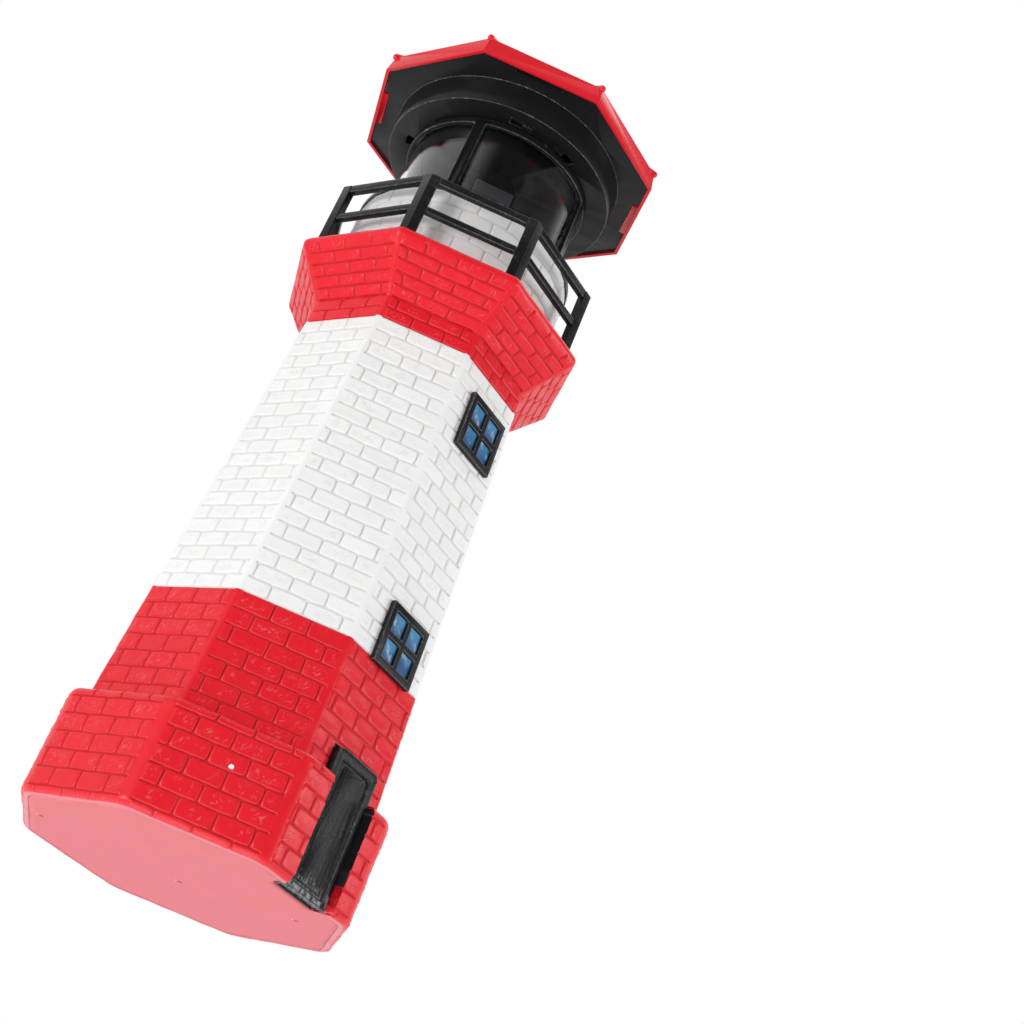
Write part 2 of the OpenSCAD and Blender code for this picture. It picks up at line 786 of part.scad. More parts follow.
module recess_tray() on_panel() lift(-recess_depth - recess_floor)
  block(recess_l + 2 * recess_wall, recess_w + 2 * recess_wall, recess_depth + recess_floor);

module recess_cut() on_panel() {
  lift(-recess_depth) block(recess_l, recess_w, 6 * panel_sink);
  translate([wire_hole_x, 0, -recess_depth - recess_floor - 1]) cylinder(r = 2, h = recess_floor + 2);
}

module roof_hollow() difference() {
  union() {
    lift(ledge_z - eps) oct_prism(inner_r, inner_bend_z - ledge_z + 2 * eps);
    lift(inner_bend_z) oct_frustum(inner_r, 0, inner_apex_z - inner_bend_z);
  }
  recess_tray();
  lift(ball_z - peg_l - 2) cylinder(r = boss_r, h = peg_l + 2);
}

module roof_shell() color(paint_red) {
  difference() {
    union() {
      lift(eave_z) oct_frustum(eave_r, hip_r, fascia_h);
      lift(fascia_z) oct_frustum(hip_r, 0, roof_rise);
      for (k = [0 : sides - 1]) hip_rib(half_turn + k * side_turn);
      recess_rim();
    }
    lift(eave_z - 1) oct_prism(brim_r + seat_gap, ledge_z - eave_z + 1);
    roof_hollow();
    recess_cut();
    lift(ball_z) sphere(ball_r + running_gap);
    lift(ball_z - peg_l - eps) cylinder(r = peg_r + running_gap, h = peg_l);
  }
  at_tabs(brim_r * flatness) lift(eave_z + 0.2) translate([-tab_t, -tab_l / 2, 0])
    cube([tab_t + seat_gap + 0.5, tab_l, ledge_z - eave_z - 0.2 - eps]);
}

module finial_ball() color(paint_red) {
  lift(ball_z) sphere(ball_r);
  lift(ball_z - peg_l + 0.5) cylinder(r = peg_r, h = peg_l - 1);
}

module solar_panel() color("#5c6b68") on_panel() lift(-panel_t) block(panel_l, panel_w, panel_t);

module panel_pad() color("#e8e4d8") on_panel() lift(-recess_depth) difference() {
  block(panel_l - 2 * pad_margin, panel_w - 2 * pad_margin, pad_t);
  translate([wire_hole_x, 0, -1]) cylinder(r = 2.4, h = pad_t + 2);
}

// Electrics inside the housing
module circuit_board() color("#2f6b3c") out(board_turn, board_d, board_z) difference() {
  block(board_w, board_l, board_t);
  for (y = [-1, 1]) translate([0, y * board_hole_y, -1]) cylinder(r = screw_r + 0.2, h = board_t + 2);
}

module board_parts() color("#303134") out(board_turn, board_d, board_z + board_t) {
  translate([driver_w / 5, 0, 0]) block(driver_w, driver_l, driver_h);
  translate([-capacitor_out, -capacitor_out, 0]) cylinder(r = capacitor_r, h = capacitor_h);
  translate([-capacitor_out, 0.8 * capacitor_out, 0]) cylinder(r = small_capacitor_r, h = small_capacitor_h);
  for (y = [-1, 1]) translate([chip_out, y * chip_out, 0]) block(chip_w, chip_l, chip_h);
}

module screw(length) {
  cylinder(r = screw_r, h = length + eps);
  lift(length) cylinder(r = screw_head_r, h = screw_head_h);
}

module board_screws() color(steel_tone)
  at_board_screws() lift(board_z + board_t - board_screw_l) screw(board_screw_l);

module bracket_screws() color(steel_tone)
  at_bridge_screws() lift(floor_z + bridge_t - bracket_screw_l) screw(bracket_screw_l);

module on_battery() rotate(battery_turn) translate([battery_d, 0, battery_z]) rotate([90, 0, 0]) children();

module battery() color("#2c7a4b") on_battery() {
  lift(-battery_l / 2) cylinder(r = battery_r, h = battery_l - 1.2);
  lift(battery_l / 2 - 1.2 - eps) cylinder(r = 2.7, h = 1.2);
}

module battery_holder() color(paint_black) difference() {
  out(battery_turn, battery_d, floor_z) block(holder_w, holder_l, holder_h);
  on_battery() lift(holder_wall - holder_l / 2)
    cylinder(r = battery_r + 0.15, h = holder_l - 2 * holder_wall);
  lift(floor_z - 1) hook_paths(1 + hook_lift + hook_t + moving_gap);
}

module battery_contact() color(brass_tone) on_battery()
  lift(battery_l / 2 + 0.1) cylinder(r = 4, h = contact_t);

module battery_spring() color(steel_tone) on_battery() lift(holder_wall + 0.1 - holder_l / 2) {
  cylinder(r = 4.5, h = 0.4);
  turns = 3;
  steps = 12;
  coil_r = 0.3;
  length = end_room - 0.2;
  tube_along([
    for (i = [0 : turns * steps])
      let (t = i / (turns * steps), r = 3.9 - 1.6 * t, a = 360 * i / steps)
        [r * cos(a), r * sin(a), 0.3 + coil_r + (length - 0.3 - 2 * coil_r) * t]
  ], coil_r);
}

module switch_case() color("#8d9094") at_switch() lift(floor_z) difference() {
  block(switch_case_w, switch_case_l, switch_case_h);
  lift(-1) block(2.2, knob_travel + 2.4, 2.2);
}

module switch_knob() color(paint_black) at_switch() translate([0, knob_travel / 2, 0]) {
  difference() {
    lift(housing_z - 0.9) block(knob_w, knob_l, floor_t + 0.8);
    for (k = [-1 : 1]) translate([0, k, housing_z - 1.4]) block(knob_w + 1, 0.4, 0.8);
  }
  lift(floor_z - 0.2) block(1.6, 1.6, 1.2);
}

// A bridge that carries the motor over the gear, on a leg with a foot
module motor_bracket() color(steel_tone) difference() {
  out(drive_turn, 0, 0) translate([0, -bridge_w / 2, 0]) {
    translate([bridge_in, 0, bridge_z]) cube([bridge_out - bridge_in, bridge_w, bridge_t]);
    translate([bridge_out - bridge_t, 0, floor_z]) cube([bridge_t, bridge_w, bridge_z - floor_z + eps]);
    translate([bridge_out - eps, 0, floor_z]) cube([bridge_foot, bridge_w, bridge_t]);
  }
  out(drive_turn, drive_d, bridge_z - 1) cylinder(r = shaft_r + 0.5, h = bridge_t + 2);
  at_bridge_screws() lift(floor_z - 1) cylinder(r = screw_r + 0.2, h = bridge_t + 2);
}

module gear_motor() color("#c9ccd0") out(drive_turn, drive_d, gearbox_z) {
  difference() {
    block(gearbox_d, gearbox_w, gearbox_h);
    lift(-1) cylinder(r = shaft_r + 0.1, h = 3);
  }
  intersection() {
    lift(gearbox_h - eps) cylinder(r = gearbox_w / 2, h = can_h);
    lift(gearbox_h - eps) block(gearbox_d, gearbox_w, can_h);
  }
  lift(gearbox_h + can_h - 2 * eps) cylinder(r = 2, h = 1);
}

// Outline of a gear, with its first tooth on +X
function gear_outline(teeth) =
  let (
    r = gear_module * teeth / 2,
    foot_r = r - 1.25 * gear_module,
    tip_r = r + 0.9 * gear_module,
    pitch_turn = 360 / teeth,
    foot_half = 0.3 * pitch_turn,
    tip_half = 0.11 * pitch_turn
  )
  [
    for (k = [0 : teeth - 1])
      each [
        for (corner = [[foot_r, -foot_half], [tip_r, -tip_half], [tip_r, tip_half], [foot_r, foot_half]])
          corner[0] * [cos(k * pitch_turn + corner[1]), sin(k * pitch_turn + corner[1])]
      ]
  ];

module drive_pinion() color(brass_tone) out(drive_turn, drive_d, gear_z) difference() {
  rotate(180 / pinion_teeth) linear_extrude(gear_t) polygon(gear_outline(pinion_teeth));
  lift(-1) cylinder(r = shaft_r + 0.02, h = gear_t + 2);
}

module motor_shaft() color(steel_tone) out(drive_turn, drive_d, gear_z - 0.6)
  cylinder(r = shaft_r, h = gearbox_z - gear_z + 2);

module lamp_gear() color("#f0ede2") lift(gear_z) difference() {
  rotate(drive_turn) linear_extrude(gear_t) polygon(gear_outline(gear_teeth));
  lift(-1) cylinder(r = spindle_r + 0.02, h = gear_t + 2);
}

module thrust_washer() color(steel_tone)
  lift(floor_z + bush_h) ring(bush_r - 0.4, spindle_r + 0.3, washer_t - running_gap);

module slip_sleeve() color("#f0ede2") lift(sleeve_z) ring(sleeve_r, spindle_r + 0.02, sleeve_h);

module slip_rings() color(brass_tone) for (z = ring_zs) lift(z) ring(ring_r, sleeve_r + 0.02, ring_h);

module brush_block() color(paint_black) out(brush_turn, brush_block_d, floor_z) difference() {
  translate([0, -brush_block_w / 2, 0]) cube([brush_block_t, brush_block_w, sleeve_z + sleeve_h - floor_z]);
  for (z = ring_zs)
    translate([-1, -1.6, z - floor_z + (ring_h - brush_t) / 2 - 0.05])
      cube([brush_block_t + 2, 3.2, brush_t + 0.1]);
}

module brushes() color(brass_tone) for (z = ring_zs)
  out(brush_turn, ring_r + 0.15, z + (ring_h - brush_t) / 2) translate([0, -1.5, 0])
    cube([brush_block_d + brush_block_t + 1 - ring_r, 3, brush_t]);

// Revolving lamp
module lamp_block() color(paint_black) rotate(lamp_turn) difference() {
  union() {
    lift(lamp_z) block(lamp_w, lamp_d, lamp_h + eps);
    lift(lamp_flange_z) cylinder(r = lamp_flange_r, h = lamp_flange_t);
    lift(lamp_flange_z) cylinder(r = spindle_r, h = sleeve_z + sleeve_h - lamp_flange_z);
  }
  lift(lamp_z + 2) cylinder(r = wire_bore_r, h = sleeve_z + sleeve_h - lamp_z);
  lift(lamp_z + lamp_h / 2) rotate([0, 90, 0]) translate([0, 0, -lamp_w])
    cylinder(r = led_r + 0.1, h = 2 * lamp_w);
}

module lamp_plates() color("#6d7074") rotate(lamp_turn) for (y = [-1, 1])
  translate([0, y * (lamp_d / 2 + 0.4), lamp_z + 0.8]) block(lamp_w - 1.4, 0.8, lamp_h - 1.6);

module on_lamp_ends() rotate(lamp_turn) for (side = [0, 180])
  rotate(side) translate([lamp_w / 2, 0, lamp_z + lamp_h / 2]) rotate([0, 90, 0]) children();

module lamp_leds() color(clear_plastic) on_lamp_ends() {
  lift(-led_seat) cylinder(r = led_r, h = led_seat + led_l - led_r);
  cylinder(r = led_r + 0.4, h = 1);
  lift(led_l - led_r) sphere(led_r);
}

module lens_caps() color(clear_plastic) on_lamp_ends() {
  cap_wall = 0.9;
  straight = lens_l - lens_r;
  difference() {
    union() {
      cylinder(r = lens_r, h = straight);
      lift(straight) sphere(lens_r);
    }
    lift(-lens_r - 1) cylinder(r = lens_r + 1, h = lens_r + 1);
    lift(-1) cylinder(r = lens_r - cap_wall, h = straight + 1);
    lift(straight) sphere(lens_r - cap_wall);
  }
}

// Wires, along their real routes inside the housing. Each ends just short of its terminal, on its solder.
board_top = board_z + board_t;
solder = 0.3;
wire_rise = 3.5;
wire_pitch = 2;

// A soldering point, in shares of the board's half width and half length
function board_pad(x, y) =
  polar(board_turn, board_d + x * board_w / 2, board_top + solder)
  + polar(board_turn + 90, y * board_l / 2, 0);
function level(p, z) = [p.x, p.y, z];
function part_way(a, b, share) = a + share * (b - a);

// A place in the panel's frame: x down the slope, h square to its face
function on_panel_at(x, h) =
  polar(panel_turn, panel_out + x * cos(pitch) + h * sin(pitch), panel_z - x * sin(pitch) + h * cos(pitch));

// A route that rises from a, runs level at a height of top and drops to b
function run(a, b, top) = [
  a,
  level(a, part_way(a.z, top, 0.8)),
  level(part_way(a, b, 0.2), top),
  level(part_way(b, a, 0.2), top),
  level(b, part_way(b.z, top, 0.8)),
  b
];

// Two wires on one route, side by side in the direction that turns gives for each point, or for them all
module wire_pair(p, turns) for (side = [-1, 1])
  wire([
    for (i = [0 : len(p) - 1])
      p[i] + polar(is_num(turns) ? turns : turns[i], side * wire_pitch / 2, 0)
  ]);

module panel_wires() color("#b3261e") {
  back = on_panel_at(wire_hole_x, -panel_t - solder);
  below = on_panel_at(wire_hole_x, -recess_depth - recess_floor - 2);
  pad = board_pad(-0.83, 0);
  midway = level(part_way(below, pad, 0.5), board_top + 3 * wire_rise);
  wire_pair([back, below, midway, level(pad, board_top + wire_rise), pad], panel_turn + 90);
}

module battery_wires() color("#d8d4c8") for (end = [-1, 1]) {
  terminal = polar(battery_turn, battery_d - 3, battery_z + 4)
    + polar(battery_turn - 90 * end, (battery_l + 2.8) / 2, 0);
  pad = end > 0 ? board_pad(0.67, 0.73) : board_pad(-0.89, 0.5);
  wire(run(terminal, pad, battery_z + battery_r + wire_rise));
}

module motor_wires() color("#1d4fa8") {
  terminal_z = gearbox_z + gearbox_h + can_h - 3;
  flat_d = drive_d - gearbox_d / 2 - solder;
  pad = board_pad(-0.72, -0.7);
  start = polar(drive_turn, flat_d, terminal_z);
  bend = polar(drive_turn, flat_d - 2, terminal_z);
  low_z = gearbox_z + gearbox_h;
  near = level(part_way(bend, pad, 0.2), low_z);
  far = level(part_way(bend, pad, 0.8), low_z);
  flat_turn = drive_turn - 90;
  pad_turn = board_turn + 90 - 360;
  turns = [flat_turn, flat_turn, part_way(flat_turn, pad_turn, 0.7), pad_turn, pad_turn, pad_turn];
  wire_pair([start, bend, near, far, level(pad, low_z - 3), pad], turns);
}

module switch_wires() color("#2b2b2b") {
  top = floor_z + switch_case_h;
  terminal = polar(switch_turn, switch_r, top + solder);
  wire_pair(run(terminal, board_pad(0.56, -0.87), top + wire_rise), switch_turn + 40);
}

module brush_wires() color("#c8801e") {
  top = sleeve_z + sleeve_h;
  terminal = polar(brush_turn, brush_block_d + brush_block_t / 2, top + solder);
  wire_pair(run(terminal, board_pad(-0.72, 0.8), top + wire_rise), brush_turn);
}

module lamp_wires() color("#b3261e") rotate(lamp_turn) for (x = [-1, 1]) {
  seat = lamp_w / 2 - led_seat;
  middle_z = lamp_z + lamp_h / 2;
  wire([
    [lamp_wire_out * x, 0, sleeve_z + sleeve_h - 1],
    [lamp_wire_out * x, 0, lamp_flange_z],
    [lamp_wire_out * x, 0, middle_z + 2 * led_lead],
    [(seat - led_lead) * x, 0, middle_z],
    [(seat - solder) * x, 0, middle_z]
  ]);
}

base_section();
bottom_plate();
shaft_section();
gallery_section();
gallery_drum();
door();
lower_window_frame();
lower_window_panes();
upper_window_frame();
upper_window_panes();
railing_posts();
railing_top_rail();
railing_mid_rail();
lantern_foot();
lantern_cage();
lantern_tube();
roof_shell();
finial_ball();
lamp_housing();
solar_panel();
panel_pad();
circuit_board();
board_parts();
board_screws();
battery();
battery_holder();
battery_spring();
battery_contact();
switch_case();
switch_knob();
motor_bracket();
bracket_screws();
gear_motor();
brush_block();
brushes();
thrust_washer();
lamp_block();
lamp_plates();
lamp_leds();
lens_caps();
lamp_gear();
slip_sleeve();
slip_rings();
drive_pinion();
motor_shaft();
panel_wires();
battery_wires();
motor_wires();
switch_wires();
brush_wires();
lamp_wires();
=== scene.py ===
"""Looks of a garden lighthouse ornament: sculpted brick courses, hand paint, a clear lantern and a solar roof."""

import logging
import math
from dataclasses import dataclass, replace
from enum import Enum
from typing import Callable, Sequence

import bmesh
import bpy
import numpy as np
from mathutils import Matrix, Vector


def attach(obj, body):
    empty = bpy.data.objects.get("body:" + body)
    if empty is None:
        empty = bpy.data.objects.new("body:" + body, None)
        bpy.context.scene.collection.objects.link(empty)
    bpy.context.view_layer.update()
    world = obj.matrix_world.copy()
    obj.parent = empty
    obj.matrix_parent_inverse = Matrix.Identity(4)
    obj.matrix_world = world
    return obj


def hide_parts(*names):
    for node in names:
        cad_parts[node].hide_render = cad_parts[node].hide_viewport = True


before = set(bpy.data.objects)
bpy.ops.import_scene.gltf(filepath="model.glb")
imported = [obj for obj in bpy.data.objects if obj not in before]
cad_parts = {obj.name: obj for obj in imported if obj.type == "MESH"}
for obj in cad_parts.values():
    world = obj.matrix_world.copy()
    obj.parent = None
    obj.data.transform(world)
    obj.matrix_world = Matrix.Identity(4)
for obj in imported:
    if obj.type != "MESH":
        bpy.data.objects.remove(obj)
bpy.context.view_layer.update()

log = logging.getLogger("lighthouse")

MM = 0.001
SIDES = 8
SIDE_TURN = 2 * math.pi / SIDES
HALF_TURN = SIDE_TURN / 2
FLATNESS = math.cos(HALF_TURN)
# The side at 225 degrees, whose joints the others are shifted against
MEASURED_SIDE = 5
# Where a joint's mesh lines run beside its middle, and the most between two lines elsewhere, in millimetres
JOINT_STEPS = (0.0, 0.24, 0.38, 0.54, 0.85)
FILL_STEP = 1.7
# How near two corners are to count as one in millimetres, the steps of a rounded edge, and the angle in degrees
# over which an edge is rounded
MERGE_REACH = 0.002
EDGE_STEPS = 2
EDGE_ANGLE = 30

Point = tuple[float, float, float]
Colour = tuple[float, float, float]
Socket = bpy.types.NodeSocket


# Small helpers -----------------------------------------------------------------------------------------------


def srgb(red: float, green: float, blue: float) -> Colour:
    """A linear colour from 8-bit sRGB values.

    Args:
        red: red, 0 to 255.
        green: green, 0 to 255.
        blue: blue, 0 to 255.

    Returns:
        The colour in linear light.
    """
    def linear(value: float) -> float:
        """One channel in linear light."""
        part = value / 255
        return part / 12.92 if part <= 0.04045 else ((part + 0.055) / 1.055) ** 2.4

    return linear(red), linear(green), linear(blue)


def rgba(colour: Colour) -> tuple[float, float, float, float]:
    """The colour with a full alpha."""
    return (*colour, 1.0)


def smooth_step(low: float, high: float, value: np.ndarray) -> np.ndarray:
    """A smooth 0 to 1 ramp of value between low and high.

    Args:
        low: the value at which it starts.
        high: the value at which it ends.
        value: the values.

    Returns:
        The ramp's height at each value.
    """
    part = np.clip((value - low) / (high - low), 0, 1)
    return part * part * (3 - 2 * part)


def value_noise(points: np.ndarray, seed: int) -> np.ndarray:
    """Smooth seeded noise of 3-D points, from -1 to 1.

    Args:
        points: an array of points, of shape (..., 3), one unit to a cell.
        seed: which noise.

    Returns:
        The noise, of shape (...).
    """
    cell = np.floor(points).astype(np.int64)
    part = points - cell
    ease = part * part * (3 - 2 * part)
    total = np.zeros(points.shape[:-1])
    for corner in range(8):
        step = np.array([corner & 1, corner >> 1 & 1, corner >> 2 & 1])
        at = cell + step
        mixed = (at[..., 0] * 73856093) ^ (at[..., 1] * 19349663) ^ (at[..., 2] * 83492791) ^ (seed * 2654435761)
        mixed = (mixed ^ (mixed >> 13)) * 1274126177 & 0x7FFFFFFF
        weight = np.prod(np.where(step == 1, ease, 1 - ease), axis=-1)
        total += weight * ((mixed % 20011) / 10005.0 - 1)
    return total


def new_object(name: str, mesh: bpy.types.Mesh) -> bpy.types.Object:
    """Links a new object of that mesh into the scene.

    Args:
        name: the object's name.
        mesh: its mesh.

    Returns:
        The object.
    """
    made = bpy.data.objects.new(name, mesh)
    bpy.context.scene.collection.objects.link(made)
    return made


def mesh_object(name: str, points: Sequence[Sequence[float]], faces: Sequence[Sequence[int]]) -> bpy.types.Object:
    """A smoothly shaded mesh object from points in millimetres and faces.

    Args:
        name: the object's name.
        points: its points in millimetres.
        faces: its faces, as lists of point numbers.

    Returns:
        The object, with its normals turned outwards.
    """
    mesh = bpy.data.meshes.new(name)
    mesh.from_pydata([tuple(c * MM for c in p) for p in points], [], [tuple(f) for f in faces])
    tidy = bmesh.new()
    tidy.from_mesh(mesh)
    bmesh.ops.remove_doubles(tidy, verts=tidy.verts, dist=1e-7)
    bmesh.ops.recalc_face_normals(tidy, faces=tidy.faces)
    tidy.to_mesh(mesh)
    tidy.free()
    mesh.polygons.foreach_set("use_smooth", [True] * len(mesh.polygons))
    return new_object(name, mesh)


def loft(name: str, rings: Sequence[Sequence[Point]]) -> bpy.types.Object:
    """A closed surface through closed rings of points, filled at both ends.

    Args:
        name: the object's name.
        rings: rings of points in millimetres, all of one length.

    Returns:
        The object.
    """
    count = len(rings[0])
    points = [p for ring in rings for p in ring]
    faces = []
    for row in range(len(rings) - 1):
        for col in range(count):
            nxt = (col + 1) % count
            faces.append((row * count + col, row * count + nxt, (row + 1) * count + nxt, (row + 1) * count + col))
    faces.append(tuple(range(count))[::-1])
    faces.append(tuple((len(rings) - 1) * count + i for i in range(count)))
    return mesh_object(name, points, faces)


def round_edges(piece: bpy.types.Object, width: float, slot: int = -1) -> None:
    """Rounds a piece's sharp edges, once its faces are joined up.

    Args:
        piece: the piece.
        width: the rounding in millimetres.
        slot: the number of the material on the roundings, or -1 for that of the faces beside them.
    """
    merged = piece.modifiers.new("merged corners", "WELD")
    merged.merge_threshold = MERGE_REACH * MM
    made = piece.modifiers.new("rounded edges", "BEVEL")
    made.width = width * MM
    made.segments = EDGE_STEPS
    made.limit_method = "ANGLE"
    made.angle_limit = math.radians(EDGE_ANGLE)
    made.harden_normals = True
    made.use_clamp_overlap = slot < 0
    made.material = slot


# Node trees --------------------------------------------------------------------------------------------------


class NodeSheet:
    """A node tree with short calls to add and link nodes."""

    def __init__(self, tree: bpy.types.NodeTree) -> None:
        """Keeps the tree."""
        self.tree = tree

    def put(self, kind: str, values: dict | None = None, **settings: object) -> bpy.types.Node:
        """Adds a node.

        Args:
            kind: the node's type name.
            values: values or sockets for its inputs, by name or number.
            settings: its own properties.

        Returns:
            The node.
        """
        node = self.tree.nodes.new(kind)
        for key, value in settings.items():
            setattr(node, key, value)
        for key, value in (values or {}).items():
            self.feed(node.inputs[key], value)
        return node

    def feed(self, socket: Socket, value: object) -> None:
        """Links a socket to value, or sets it to value.

        Args:
            socket: an input socket.
            value: an output socket, or a plain value.
        """
        if isinstance(value, bpy.types.NodeSocket):
            self.tree.links.new(value, socket)
        else:
            socket.default_value = value

    def math(self, operation: str, first: object, second: object = 0.0, third: object = 0.0) -> Socket:
        """A Math node's result."""
        values = {0: first, 1: second, 2: third}
        return self.put("ShaderNodeMath", values, operation=operation).outputs[0]

    def clamp(self, value: object) -> Socket:
        """value kept between 0 and 1."""
        return self.put("ShaderNodeClamp", {"Value": value}).outputs[0]

    def ramp(self, value: object, low: float, high: float, start: float = 0.0, end: float = 1.0) -> Socket:
        """value mapped smoothly from low and high to start and end."""
        values = {"Value": value, "From Min": low, "From Max": high, "To Min": start, "To Max": end}
        return self.put("ShaderNodeMapRange", values, interpolation_type="SMOOTHSTEP").outputs["Result"]

    def mix(self, factor: object, first: object, second: object, blend: str = "MIX") -> Socket:
        """Two colours mixed.

        Args:
            factor: how much of the second there is.
            first: the first colour.
            second: the second colour.
            blend: the way of mixing.

        Returns:
            The mixed colour.
        """
        node = self.put("ShaderNodeMix", data_type="RGBA", blend_type=blend)
        for socket, value in ((node.inputs["Factor"], factor), (node.inputs[6], first), (node.inputs[7], second)):
            self.feed(socket, rgba(value) if isinstance(value, tuple) and len(value) == 3 else value)
        return node.outputs[2]

    def noise(self, where: Socket, scale: object, detail: float = 4.0, rough: float = 0.55) -> Socket:
        """A noise value of a position."""
        values = {"Vector": where, "Scale": scale, "Detail": detail, "Roughness": rough}
        return self.put("ShaderNodeTexNoise", values).outputs["Fac"]

    def place(self) -> Socket:
        """The position on the object, in metres."""
        return self.put("ShaderNodeTexCoord").outputs["Object"]

    def scaled(self, where: Socket, factors: Point) -> Socket:
        """A position scaled along its axes."""
        return self.put("ShaderNodeVectorMath", {0: where, 1: factors}, operation="MULTIPLY").outputs[0]

    def spot(self, centre: Point, radius: float) -> Socket:
        """A mask of one ragged spot.

        Args:
            centre: its centre in millimetres.
            radius: its radius in millimetres.

        Returns:
            The mask, 1 on the spot.
        """
        centre = tuple(MM * value for value in centre)
        away = self.put("ShaderNodeVectorMath", {0: self.place(), 1: centre}, operation="DISTANCE").outputs["Value"]
        ragged = self.noise(self.place(), 1300.0, 3.0, 0.6)
        away = self.math("MULTIPLY_ADD", ragged, 1.2 * radius * MM, away)
        return self.ramp(away, 1.3 * radius * MM, 1.45 * radius * MM, 1.0, 0.0)

    def bump(self, height: object, strength: float, distance: float, below: Socket | None = None) -> Socket:
        """A bump normal.

        Args:
            height: the height socket, 0 to 1.
            strength: how strong it is.
            distance: how high 1 is, in millimetres.
            below: the normal that it adds to.

        Returns:
            The normal.
        """
        values = {"Height": height, "Strength": strength, "Distance": distance * MM}
        if below is not None:
            values["Normal"] = below
        return self.put("ShaderNodeBump", values).outputs["Normal"]

    def use(self, group: bpy.types.NodeTree, **values: object) -> bpy.types.Node:
        """Places a shared effect.

        Args:
            group: the effect's group.
            values: values or sockets for its inputs, by name.

        Returns:
            The group's node.
        """
        node = self.put("ShaderNodeGroup", node_tree=group)
        for key, value in values.items():
            self.feed(node.inputs[key.replace("_", " ")], value)
        return node


